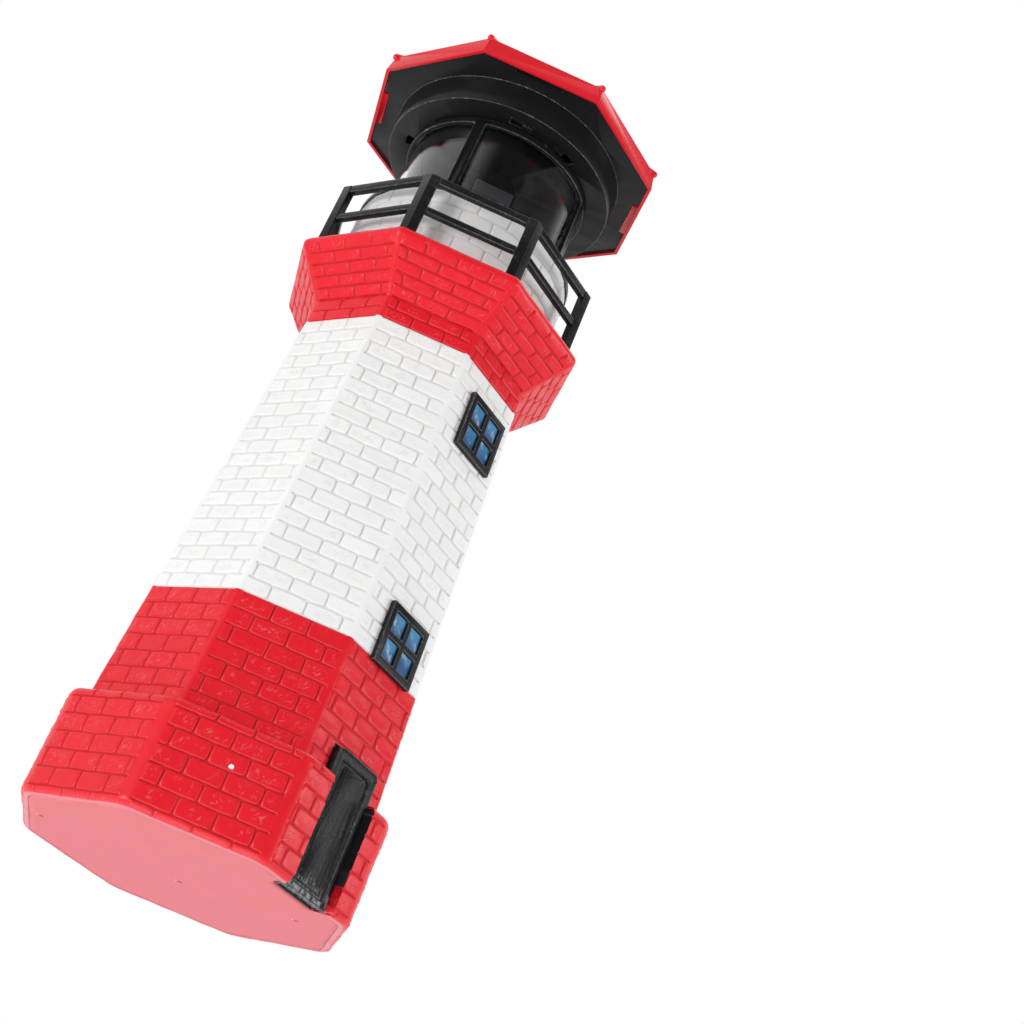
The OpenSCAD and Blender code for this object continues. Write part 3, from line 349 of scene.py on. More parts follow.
class Effects:
    """The effects that several materials share, each a node group that is built once."""

    def __init__(self) -> None:
        """Starts with none built."""
        self.made: dict[str, bpy.types.NodeTree] = {}

    def group(self, name: str, inputs: dict[str, float], outputs: dict[str, str],
              fill: Callable[[NodeSheet, dict[str, Socket]], dict[str, Socket]]) -> bpy.types.NodeTree:
        """A group by name, built at its first use.

        Args:
            name: its name.
            inputs: its number inputs and their defaults.
            outputs: its outputs and their socket types.
            fill: makes its nodes from its input sockets and returns its output sockets.

        Returns:
            The group's node tree.
        """
        if name not in self.made:
            tree = bpy.data.node_groups.new(name, "ShaderNodeTree")
            for key, value in inputs.items():
                tree.interface.new_socket(name=key, in_out="INPUT", socket_type="NodeSocketFloat").default_value = value
            for key, kind in outputs.items():
                tree.interface.new_socket(name=key, in_out="OUTPUT", socket_type=kind)
            sheet = NodeSheet(tree)
            source = sheet.put("NodeGroupInput")
            sink = sheet.put("NodeGroupOutput")
            for key, socket in fill(sheet, {key: source.outputs[key] for key in inputs}).items():
                sheet.feed(sink.inputs[key], socket)
            self.made[name] = tree
        return self.made[name]

    def mottle(self) -> bpy.types.NodeTree:
        """Uneven patches, as in brushed or sprayed paint: Scale and Contrast in, Mask out."""
        def fill(sheet: NodeSheet, into: dict[str, Socket]) -> dict[str, Socket]:
            """Two noises, stretched to a contrast.

            Args:
                sheet: the group's node tree.
                into: its input sockets by name.

            Returns:
                Its output sockets by name.
            """
            where = sheet.place()
            broad = sheet.noise(where, into["Scale"], 5.0, 0.6)
            fine = sheet.noise(where, sheet.math("MULTIPLY", into["Scale"], 5.3), 4.0, 0.6)
            both = sheet.math("MULTIPLY_ADD", fine, 0.35, sheet.math("MULTIPLY", broad, 0.65))
            spread = sheet.math("MULTIPLY", sheet.math("SUBTRACT", both, 0.5), into["Contrast"])
            return {"Mask": sheet.clamp(sheet.math("ADD", spread, 0.5))}

        return self.group("mottled paint", {"Scale": 60.0, "Contrast": 3.0}, {"Mask": "NodeSocketFloat"}, fill)

    def stipple(self) -> bpy.types.NodeTree:
        """Small raised specks in patches, as on hand-tooled resin: Scale and Cover in, Height and Specks out.

        Returns:
            The effect's group.
        """
        def fill(sheet: NodeSheet, into: dict[str, Socket]) -> dict[str, Socket]:
            """Cells thinned out by a noise.

            Args:
                sheet: the group's node tree.
                into: its input sockets by name.

            Returns:
                Its output sockets by name.
            """
            where = sheet.place()
            values = {"Vector": where, "Scale": into["Scale"], "Randomness": 1.0}
            cells = sheet.put("ShaderNodeTexVoronoi", values).outputs["Distance"]
            specks = sheet.ramp(cells, 0.42, 0.05)
            patches = sheet.noise(where, sheet.math("MULTIPLY", into["Scale"], 0.16), 3.0, 0.6)
            kept = sheet.ramp(sheet.math("ADD", patches, into["Cover"]), 0.9, 1.15)
            grain = sheet.noise(where, sheet.math("MULTIPLY", into["Scale"], 2.3), 3.0, 0.6)
            raised = sheet.math("MULTIPLY", specks, kept)
            return {"Height": sheet.math("MULTIPLY_ADD", grain, 0.25, sheet.math("MULTIPLY", raised, 0.75)),
                    "Specks": raised}

        outputs = {"Height": "NodeSocketFloat", "Specks": "NodeSocketFloat"}
        return self.group("tooled specks", {"Scale": 600.0, "Cover": 0.5}, outputs, fill)

    def strokes(self) -> bpy.types.NodeTree:
        """Short raised strokes, left by the tool on the cast's model: Scale and Cover in, Height out."""
        def fill(sheet: NodeSheet, into: dict[str, Socket]) -> dict[str, Socket]:
            """Noises stretched along two slants, cut to short strokes and kept in patches.

            Args:
                sheet: the group's node tree.
                into: its input sockets by name.

            Returns:
                Its output sockets by name.
            """
            where = sheet.place()
            bend = sheet.put("ShaderNodeTexNoise", {"Vector": where, "Scale": 260.0, "Detail": 1.0}).outputs["Color"]
            bend = sheet.put("ShaderNodeVectorMath", {0: bend, "Scale": 0.0016}, operation="SCALE").outputs[0]
            bent = sheet.put("ShaderNodeVectorMath", {0: where, 1: bend}, operation="ADD").outputs[0]
            strokes = []
            for slant in ((0.48, -0.48, 0.73), (0.3, 0.62, -0.72)):
                dot = sheet.put("ShaderNodeVectorMath", {0: bent, 1: slant}, operation="DOT_PRODUCT").outputs["Value"]
                back = sheet.put("ShaderNodeVectorMath", {0: slant, "Scale": sheet.math("MULTIPLY", dot, -0.76)},
                                 operation="SCALE").outputs[0]
                drawn = sheet.put("ShaderNodeVectorMath", {0: bent, 1: back}, operation="ADD").outputs[0]
                strokes.append(sheet.ramp(sheet.noise(drawn, into["Scale"], 0.0, 0.5), 0.61, 0.68))
            patches = sheet.noise(where, sheet.math("MULTIPLY", into["Scale"], 0.13), 2.0, 0.6)
            kept = sheet.ramp(sheet.math("ADD", patches, into["Cover"]), 0.95, 1.08)
            return {"Height": sheet.math("MULTIPLY", sheet.math("MAXIMUM", strokes[0], strokes[1]), kept)}

        return self.group("tool strokes", {"Scale": 1700.0, "Cover": 0.5}, {"Height": "NodeSocketFloat"}, fill)

    def scratches(self) -> bpy.types.NodeTree:
        """Fine hairline scratches in several directions: Scale and Amount in, Mask out."""
        def fill(sheet: NodeSheet, into: dict[str, Socket]) -> dict[str, Socket]:
            """Thin bands of stretched noises, kept in a few places.

            Args:
                sheet: the group's node tree.
                into: its input sockets by name.

            Returns:
                Its output sockets by name.
            """
            where = sheet.place()
            masks = []
            for turn in (0.4, 1.7, 2.6):
                turned_place = sheet.put("ShaderNodeVectorRotate", rotation_type="EULER_XYZ")
                sheet.feed(turned_place.inputs["Vector"], where)
                sheet.feed(turned_place.inputs["Rotation"], (turn, 0.7 * turn, 1.3 * turn))
                along = sheet.scaled(turned_place.outputs[0], (1.0, 0.045, 1.0))
                line = sheet.noise(along, into["Scale"], 1.0, 0.4)
                thin = sheet.ramp(sheet.math("ABSOLUTE", sheet.math("SUBTRACT", line, 0.5)), 0.012, 0.0)
                masks.append(thin)
            lines = sheet.math("MAXIMUM", sheet.math("MAXIMUM", masks[0], masks[1]), masks[2])
            places = sheet.noise(where, sheet.math("MULTIPLY", into["Scale"], 0.22), 2.0, 0.5)
            kept = sheet.ramp(sheet.math("ADD", places, into["Amount"]), 0.95, 1.25)
            return {"Mask": sheet.math("MULTIPLY", lines, kept)}

        return self.group("hairline scratches", {"Scale": 260.0, "Amount": 0.4}, {"Mask": "NodeSocketFloat"}, fill)

    def dust(self) -> bpy.types.NodeTree:
        """Dust that lies on faces that look up: Amount in, Mask out."""
        def fill(sheet: NodeSheet, into: dict[str, Socket]) -> dict[str, Socket]:
            """The upward part of the normal, broken by noise.

            Args:
                sheet: the group's node tree.
                into: its input sockets by name.

            Returns:
                Its output sockets by name.
            """
            normal = sheet.put("ShaderNodeNewGeometry").outputs["Normal"]
            upward = sheet.put("ShaderNodeSeparateXYZ", {"Vector": normal}).outputs["Z"]
            patches = sheet.noise(sheet.place(), 210.0, 5.0, 0.7)
            lying = sheet.math("MULTIPLY", sheet.ramp(upward, 0.35, 1.0), sheet.ramp(patches, 0.35, 0.75))
            return {"Mask": sheet.math("MULTIPLY", lying, into["Amount"])}

        return self.group("settled dust", {"Amount": 0.15}, {"Mask": "NodeSocketFloat"}, fill)


EFFECTS = Effects()


# Finishes ----------------------------------------------------------------------------------------------------


UNDERSIDE = srgb(231, 122, 130)
UNDERSIDE_WORN = srgb(236, 140, 146)


class Layer(Enum):
    """The masks that brick meshes carry for their paint."""

    JOINT = "joint"
    SHADE = "shade"
    BARE = "bare"
    INK = "ink"
    TOOLED = "tooled"


@dataclass(frozen=True)
class Finish:
    """A finish, whose material is built once.

    Attributes:
        name: the material's name.
    """

    name: str

    def material(self) -> bpy.types.Material:
        """The finish's material, built at its first use.

        Returns:
            The material.
        """
        known = bpy.data.materials.get(self.name)
        if known is not None:
            return known
        made = bpy.data.materials.new(self.name)
        made.use_nodes = True
        sheet = NodeSheet(made.node_tree)
        self.dress(sheet, made.node_tree.nodes["Principled BSDF"])
        return made

    def dress(self, sheet: NodeSheet, shader: bpy.types.Node) -> None:
        """Feeds the shader. Each finish has its own way.

        Args:
            sheet: the material's node tree.
            shader: its Principled shader.
        """
        raise NotImplementedError

    def put_on(self, piece: bpy.types.Object) -> None:
        """Gives the piece this finish alone."""
        piece.data.materials.clear()
        piece.data.materials.append(self.material())


@dataclass(frozen=True)
class BrickPaint(Finish):
    """Satin paint over tooled brick courses, dark in the joints, with a paler tone painted on the tool strokes, specks
    and joint edges as highlight.

    Attributes:
        body: the paint's colour.
        deep: its colour in the joints.
        worn: its paler colour on the tool strokes, specks and joint edges, a painted highlight.
        patch: a second tone that it is mottled with.
        joint_share: how much of the deep colour shows in a joint.
        highlight_share: how much of the worn colour shows as painted highlight on a stroke, speck or joint edge.
        roughness: how rough the paint is.
        specular: its specular level.
        chips: the centres of the spots where the paint is chipped off, in millimetres.
    """

    body: Colour
    deep: Colour
    worn: Colour
    patch: Colour
    joint_share: float = 0.8
    highlight_share: float = 0.3
    roughness: float = 0.42
    specular: float = 0.25
    chips: tuple[Point, ...] = ()

    def dress(self, sheet: NodeSheet, shader: bpy.types.Node) -> None:
        """Mixes the tones by the mesh's masks, paints highlights on the strokes, specks and joint edges, and adds the
        tooled grain.

        Args:
            sheet: the material's node tree.
            shader: its Principled shader.
        """
        masks = {layer: sheet.put("ShaderNodeAttribute", attribute_name=layer.value).outputs["Fac"] for layer in Layer}
        mottle = sheet.use(EFFECTS.mottle(), Scale=75.0, Contrast=2.6).outputs["Mask"]
        stipple = sheet.use(EFFECTS.stipple(), Scale=700.0, Cover=0.4)
        colour = sheet.mix(sheet.math("MULTIPLY", mottle, 0.5), self.body, self.patch)
        shade = sheet.math("MULTIPLY_ADD", masks[Layer.SHADE], 0.08, 0.96)
        tone = sheet.put("ShaderNodeCombineColor", {0: shade, 1: shade, 2: shade}).outputs[0]
        colour = sheet.mix(1.0, colour, tone, "MULTIPLY")
        strokes = sheet.use(EFFECTS.strokes(), Scale=1700.0, Cover=0.5).outputs["Height"]
        strokes = sheet.math("MULTIPLY", strokes, masks[Layer.TOOLED])
        # Painted highlight: the paler worn colour on the tool strokes and specks
        marks = sheet.math("MAXIMUM", sheet.math("MULTIPLY", stipple.outputs["Specks"], 0.3), strokes)
        colour = sheet.mix(sheet.math("MULTIPLY", marks, self.highlight_share), colour, self.worn)
        # Painted highlight: a pale band along the edges of each joint
        lip = sheet.math("MULTIPLY", sheet.ramp(masks[Layer.JOINT], 0.03, 0.2),
                         sheet.ramp(masks[Layer.JOINT], 0.3, 0.5, 1.0, 0.0))
        colour = sheet.mix(sheet.math("MULTIPLY", lip, 0.7 * self.highlight_share), colour, self.worn)
        filled = sheet.math("MULTIPLY", masks[Layer.JOINT], sheet.ramp(mottle, 0.1, 0.8, 0.75, 1.0))
        colour = sheet.mix(sheet.math("MULTIPLY", filled, self.joint_share), colour, self.deep)
        ragged = sheet.noise(sheet.place(), 300.0, 3.0, 0.6)
        colour = sheet.mix(sheet.math("MULTIPLY", masks[Layer.BARE], 0.9), colour, srgb(250, 92, 106))
        bare = sheet.ramp(sheet.math("MULTIPLY_ADD", ragged, 0.5, masks[Layer.BARE]), 0.78, 0.84)
        colour = sheet.mix(bare, colour, sheet.mix(mottle, UNDERSIDE, UNDERSIDE_WORN))
        ink = sheet.ramp(sheet.math("MULTIPLY_ADD", ragged, 0.3, masks[Layer.INK]), 0.5, 0.7)
        colour = sheet.mix(ink, colour, srgb(36, 34, 37))
        dust = sheet.use(EFFECTS.dust(), Amount=0.08).outputs["Mask"]
        colour = sheet.mix(dust, colour, srgb(205, 198, 188))
        for chip in self.chips:
            colour = sheet.mix(sheet.spot(chip, 1.0), colour, srgb(246, 244, 242))
        sheet.feed(shader.inputs["Base Color"], colour)
        rough = sheet.math("MULTIPLY_ADD", mottle, 0.16, self.roughness - 0.08)
        sheet.feed(shader.inputs["Roughness"], sheet.math("MULTIPLY_ADD", masks[Layer.JOINT], 0.2, rough))
        fine = sheet.noise(sheet.place(), 1900.0, 4.0, 0.6)
        normal = sheet.bump(fine, 0.25, 0.08)
        normal = sheet.bump(stipple.outputs["Height"], 0.4, 0.1, normal)
        sheet.feed(shader.inputs["Normal"], sheet.bump(strokes, 0.8, 0.2, normal))
        shader.inputs["Specular IOR Level"].default_value = self.specular


@dataclass(frozen=True)
class SatinPaint(Finish):
    """Brushed or sprayed satin paint on smooth parts.

    Attributes:
        body: the paint's colour.
        worn: its colour where it is rubbed.
        roughness: how rough it is.
        grain: the height of its grain in millimetres.
        grain_scale: the fineness of its grain.
        stretch: how the grain is stretched along X, Y and Z.
        rub: how much of it is rubbed.
        dusty: how much dust lies on it.
    """

    body: Colour
    worn: Colour
    roughness: float = 0.4
    grain: float = 0.08
    grain_scale: float = 900.0
    stretch: Point = (1.0, 1.0, 1.0)
    rub: float = 0.35
    dusty: float = 0.1

    def dress(self, sheet: NodeSheet, shader: bpy.types.Node) -> None:
        """Mottles the colour, rubs it in places and adds the grain.

        Args:
            sheet: the material's node tree.
            shader: its Principled shader.
        """
        where = sheet.scaled(sheet.place(), self.stretch)
        mottle = sheet.use(EFFECTS.mottle(), Scale=110.0, Contrast=3.0).outputs["Mask"]
        scratches = sheet.use(EFFECTS.scratches(), Scale=300.0, Amount=self.rub).outputs["Mask"]
        grain = sheet.noise(where, self.grain_scale, 5.0, 0.62)
        lighter = tuple(min(1.0, 1.35 * c + 0.004) for c in self.body)
        colour = sheet.mix(sheet.math("MULTIPLY", mottle, 0.5), self.body, lighter)
        rubbed = sheet.math("MULTIPLY", sheet.ramp(grain, 0.55, 0.8), self.rub)
        colour = sheet.mix(sheet.clamp(sheet.math("MULTIPLY_ADD", scratches, 0.4, rubbed)), colour, self.worn)
        dust = sheet.use(EFFECTS.dust(), Amount=self.dusty).outputs["Mask"]
        colour = sheet.mix(dust, colour, srgb(190, 186, 178))
        sheet.feed(shader.inputs["Base Color"], colour)
        sheet.feed(shader.inputs["Roughness"], sheet.math("MULTIPLY_ADD", mottle, 0.18, self.roughness - 0.09))
        sheet.feed(shader.inputs["Normal"], sheet.bump(grain, 0.7, self.grain))
        shader.inputs["Specular IOR Level"].default_value = 0.2


@dataclass(frozen=True)
class MarkedPaint(SatinPaint):
    """Satin paint with a few marks where another colour ran over.

    Attributes:
        mark: the marks' colour.
        spots: the centres of the marks, in millimetres.
    """

    mark: Colour = (0.0, 0.0, 0.0)
    spots: tuple[Point, ...] = ()

    def dress(self, sheet: NodeSheet, shader: bpy.types.Node) -> None:
        """Adds the marks, each with a pale fleck beside it as a painted highlight.

        Args:
            sheet: the material's node tree.
            shader: its Principled shader.
        """
        SatinPaint.dress(self, sheet, shader)
        colour = shader.inputs["Base Color"].links[0].from_socket
        for x, y, z in self.spots:
            # Painted highlight: a pale fleck beside each mark
            colour = sheet.mix(sheet.spot((x - 1.0, y + 1.0, z), 0.5), colour, srgb(252, 214, 216))
            colour = sheet.mix(sheet.spot((x, y, z), 1.0), colour, self.mark)
        sheet.feed(shader.inputs["Base Color"], colour)


@dataclass(frozen=True)
class ScuffedPaint(SatinPaint):
    """Satin paint that is scuffed grey towards its foot.

    Attributes:
        scuff: the colour of the scuffs.
        reach: how far up they reach, in millimetres.
    """

    scuff: Colour = (0.3, 0.3, 0.3)
    reach: float = 10.0

    def dress(self, sheet: NodeSheet, shader: bpy.types.Node) -> None:
        """Adds the scuffs, short upright strokes, to the satin paint.

        Args:
            sheet: the material's node tree.
            shader: its Principled shader.
        """
        SatinPaint.dress(self, sheet, shader)
        colour = shader.inputs["Base Color"].links[0].from_socket
        height = sheet.put("ShaderNodeSeparateXYZ", {0: sheet.place()}).outputs["Z"]
        low = sheet.ramp(height, 1.0 * MM, self.reach * MM, 1.0, 0.0)
        strokes = sheet.noise(sheet.scaled(sheet.place(), (1.0, 1.0, 0.35)), 1100.0, 4.0, 0.65)
        strokes = sheet.ramp(sheet.math("MULTIPLY_ADD", low, 0.2, strokes), 0.62, 0.74)
        colour = sheet.mix(sheet.math("MULTIPLY", strokes, low), colour, self.scuff)
        sheet.feed(shader.inputs["Base Color"], colour)


@dataclass(frozen=True)
class MouldedPlastic(Finish):
    """Injection-moulded plastic with a faint orange peel, flow tone and hairline scratches.

    Attributes:
        body: its colour.
        flow: a second tone of the flow marks.
        roughness: how rough it is.
        peel: the height of its orange peel in millimetres.
        scratched: how many scratches it has.
        dusty: how much dust lies on it.
        specular: its specular level.
    """

    body: Colour
    flow: Colour
    roughness: float = 0.3
    peel: float = 0.03
    scratched: float = 0.25
    dusty: float = 0.08
    specular: float = 0.5

    def dress(self, sheet: NodeSheet, shader: bpy.types.Node) -> None:
        """Adds flow tone, peel, scratches and dust.

        Args:
            sheet: the material's node tree.
            shader: its Principled shader.
        """
        mottle = sheet.use(EFFECTS.mottle(), Scale=32.0, Contrast=2.2).outputs["Mask"]
        colour = sheet.mix(sheet.math("MULTIPLY", mottle, 0.6), self.body, self.flow)
        scratches = sheet.use(EFFECTS.scratches(), Scale=240.0, Amount=self.scratched).outputs["Mask"]
        paler = tuple(0.6 * c + 0.25 for c in self.body)
        colour = sheet.mix(sheet.math("MULTIPLY", scratches, 0.35), colour, paler)
        dust = sheet.use(EFFECTS.dust(), Amount=self.dusty).outputs["Mask"]
        colour = sheet.mix(dust, colour, srgb(196, 190, 182))
        sheet.feed(shader.inputs["Base Color"], colour)
        rough = sheet.math("MULTIPLY_ADD", mottle, 0.1, self.roughness - 0.05)
        sheet.feed(shader.inputs["Roughness"], sheet.math("MULTIPLY_ADD", scratches, 0.15, rough))
        peel = sheet.noise(sheet.place(), 420.0, 2.0, 0.4)
        grain = sheet.noise(sheet.place(), 3200.0, 2.0, 0.5)
        height = sheet.math("MULTIPLY_ADD", grain, 0.12, peel)
        normal = sheet.bump(height, 0.5, self.peel)
        sheet.feed(shader.inputs["Normal"], sheet.bump(scratches, 0.2, -0.04, normal))
        shader.inputs["Specular IOR Level"].default_value = self.specular


@dataclass(frozen=True)
class ClearPlastic(Finish):
    """Clear moulded plastic with a slight tone and fine scratches.

    Attributes:
        tint: its colour.
        bending: its index of refraction.
        roughness: how rough it is.
        haze: how much haze the scratches and dust leave.
    """

    tint: Colour
    bending: float = 1.49
    roughness: float = 0.03
    haze: float = 0.05

    def dress(self, sheet: NodeSheet, shader: bpy.types.Node) -> None:
        """Makes it transmit light, with haze in patches.

        Args:
            sheet: the material's node tree.
            shader: its Principled shader.
        """
        mottle = sheet.use(EFFECTS.mottle(), Scale=45.0, Contrast=2.4).outputs["Mask"]
        scratches = sheet.use(EFFECTS.scratches(), Scale=260.0, Amount=0.3).outputs["Mask"]
        darker = tuple(0.93 * c for c in self.tint)
        sheet.feed(shader.inputs["Base Color"], sheet.mix(mottle, self.tint, darker))
        rough = sheet.math("MULTIPLY_ADD", mottle, self.haze, self.roughness)
        sheet.feed(shader.inputs["Roughness"], sheet.math("MULTIPLY_ADD", scratches, 0.2, rough))
        wave = sheet.noise(sheet.place(), 90.0, 1.0, 0.4)
        sheet.feed(shader.inputs["Normal"], sheet.bump(wave, 0.05, 0.03))
        shader.inputs["Transmission Weight"].default_value = 1.0
        shader.inputs["IOR"].default_value = self.bending


@dataclass(frozen=True)
class BareMetal(Finish):
    """Bare metal with drawn or rolled lines.

    Attributes:
        body: its colour.
        dull: its colour where it has dulled.
        roughness: how rough it is.
        stretch: how its lines are stretched along X, Y and Z.
    """

    body: Colour
    dull: Colour
    roughness: float = 0.28
    stretch: Point = (1.0, 1.0, 0.08)

    def dress(self, sheet: NodeSheet, shader: bpy.types.Node) -> None:
        """Adds lines, dull patches and scratches.

        Args:
            sheet: the material's node tree.
            shader: its Principled shader.
        """
        lines = sheet.noise(sheet.scaled(sheet.place(), self.stretch), 2400.0, 3.0, 0.6)
        mottle = sheet.use(EFFECTS.mottle(), Scale=180.0, Contrast=3.0).outputs["Mask"]
        scratches = sheet.use(EFFECTS.scratches(), Scale=420.0, Amount=0.35).outputs["Mask"]
        colour = sheet.mix(sheet.math("MULTIPLY", mottle, 0.55), self.body, self.dull)
        sheet.feed(shader.inputs["Base Color"], colour)
        rough = sheet.math("MULTIPLY_ADD", mottle, 0.2, self.roughness - 0.06)
        sheet.feed(shader.inputs["Roughness"], sheet.math("MULTIPLY_ADD", lines, 0.12, rough))
        normal = sheet.bump(lines, 0.3, 0.02)
        sheet.feed(shader.inputs["Normal"], sheet.bump(scratches, 0.2, -0.03, normal))
        shader.inputs["Metallic"].default_value = 1.0


@dataclass(frozen=True)
class PaintedPane(Finish):
    """Hand-painted window panes: blue, darker at the foot, with pale strokes for reflections.

    Attributes:
        light: the blue's pale tone.
        deep: its deep tone.
        glint: the pale strokes' colour.
        foot: the height of the panes' lower edge in metres.
        height: the height over the panes in metres.
    """

    light: Colour
    deep: Colour
    glint: Colour
    foot: float
    height: float

    def dress(self, sheet: NodeSheet, shader: bpy.types.Node) -> None:
        """Grades the blue, and lays on strokes and brush grain.

        Args:
            sheet: the material's node tree.
            shader: its Principled shader.
        """
        where = sheet.place()
        parts = sheet.put("ShaderNodeSeparateXYZ", {"Vector": where}).outputs
        across, up = parts["X"], sheet.math("DIVIDE", sheet.math("SUBTRACT", parts["Z"], self.foot), self.height)
        half = sheet.math("FRACT", sheet.math("MULTIPLY", up, 2.0))
        brush = sheet.noise(sheet.scaled(where, (1.0, 1.0, 0.35)), 520.0, 4.0, 0.6)
        wash = sheet.noise(where, 130.0, 2.0, 0.5)
        grade = sheet.math("MULTIPLY_ADD", half, 0.6, sheet.math("MULTIPLY_ADD", wash, 0.7, -0.25))
        colour = sheet.mix(sheet.ramp(grade, 0.1, 0.8), self.deep, self.light)
        slant = sheet.math("ADD", sheet.math("MULTIPLY", across, 90.0), sheet.math("MULTIPLY", parts["Z"], 120.0))
        stroke = sheet.math("ABSOLUTE", sheet.math("SUBTRACT", sheet.math("FRACT", slant), 0.5))
        streak = sheet.math("MULTIPLY", sheet.ramp(stroke, 0.2, 0.08), sheet.ramp(brush, 0.45, 0.62))
        colour = sheet.mix(sheet.math("MULTIPLY", streak, 0.45), colour, self.glint)
        sheet.feed(shader.inputs["Base Color"], colour)
        sheet.feed(shader.inputs["Roughness"], sheet.ramp(brush, 0.3, 0.7, 0.28, 0.5))
        sheet.feed(shader.inputs["Normal"], sheet.bump(brush, 0.5, 0.1))


@dataclass(frozen=True)
class SolarCell(Finish):
    """A resin-coated solar cell with silver lines, margins and a painted reflection of the finial ball, a dark spot at
    the middle of its upper edge.

    Attributes:
        cell: the cell's colour.
        sheen: its second tone.
        silver: the colour of its lines.
        middle: the middle of the cell's face, in metres.
        down: the direction down the slope.
        across: the direction across it.
        width: its width in metres.
        length: its length down the slope in metres.
    """

    cell: Colour
    sheen: Colour
    silver: Colour
    middle: Point
    down: Point
    across: Point
    width: float
    length: float

    def dress(self, sheet: NodeSheet, shader: bpy.types.Node) -> None:
        """Draws the lines and the painted reflection of the finial ball by place across and down the cell.

        Args:
            sheet: the material's node tree.
            shader: its Principled shader.
        """
        from_middle = sheet.put("ShaderNodeVectorMath", {0: sheet.place(), 1: self.middle},
                                operation="SUBTRACT").outputs[0]

        def along(direction: Point, size: float) -> Socket:
            """The share of the way along a direction, 0 to 1."""
            dot = sheet.put("ShaderNodeVectorMath", {0: from_middle, 1: direction}, operation="DOT_PRODUCT")
            return sheet.math("MULTIPLY_ADD", dot.outputs["Value"], 1 / size, 0.5)

        def line(share: Socket, at: float, half: float) -> Socket:
            """A thin line at a share of the way."""
            return sheet.ramp(sheet.math("ABSOLUTE", sheet.math("SUBTRACT", share, at)), half, 0.6 * half)

        side, slope = along(self.across, self.width), along(self.down, self.length)
        mottle = sheet.use(EFFECTS.mottle(), Scale=55.0, Contrast=2.4).outputs["Mask"]
        flakes = sheet.put("ShaderNodeTexVoronoi", {"Vector": sheet.place(), "Scale": 900.0}).outputs["Color"]
        tone = sheet.put("ShaderNodeSeparateColor", {"Color": flakes}).outputs[0]
        colour = sheet.mix(sheet.math("MULTIPLY_ADD", tone, 0.25, sheet.math("MULTIPLY", mottle, 0.5)), self.cell,
                           self.sheen)
        lines = line(side, 0.32, 0.006)
        for at in (0.60, 0.87):
            lines = sheet.math("MAXIMUM", lines, line(side, at, 0.006))
        for at in (0.025, 0.975):
            lines = sheet.math("MAXIMUM", lines, sheet.math("MULTIPLY", line(side, at, 0.005), 0.5))
        colour = sheet.mix(sheet.math("MULTIPLY", lines, 0.8), colour, self.silver)
        strip = sheet.ramp(slope, 0.10, 0.08)
        colour = sheet.mix(sheet.math("MULTIPLY", strip, 0.5), colour, self.silver)
        # Painted reflection of the finial ball: a dark round spot at the middle of the cell's upper edge
        ball_reflection_across = sheet.math("MULTIPLY", sheet.math("SUBTRACT", side, 0.5), self.width)
        ball_reflection_down = sheet.math("MULTIPLY", slope, self.length)
        reach = sheet.math("SQRT", sheet.math("ADD", sheet.math("POWER", ball_reflection_across, 2.0),
                                              sheet.math("POWER", ball_reflection_down, 2.0)))
        colour = sheet.mix(sheet.ramp(reach, 0.0036, 0.0032), colour, srgb(28, 32, 34))
        specks = sheet.put("ShaderNodeTexVoronoi", {"Vector": sheet.place(), "Scale": 240.0}).outputs["Distance"]
        colour = sheet.mix(sheet.math("MULTIPLY", sheet.ramp(specks, 0.05, 0.03), 0.7), colour, srgb(24, 26, 28))
        sheet.feed(shader.inputs["Base Color"], colour)
        sheet.feed(shader.inputs["Roughness"], sheet.ramp(mottle, 0.2, 0.8, 0.16, 0.3))
        sheet.feed(shader.inputs["Normal"], sheet.bump(sheet.noise(sheet.place(), 260.0, 2.0, 0.5), 0.25, 0.05))
        shader.inputs["Coat Weight"].default_value = 0.6
        shader.inputs["Coat Roughness"].default_value = 0.08


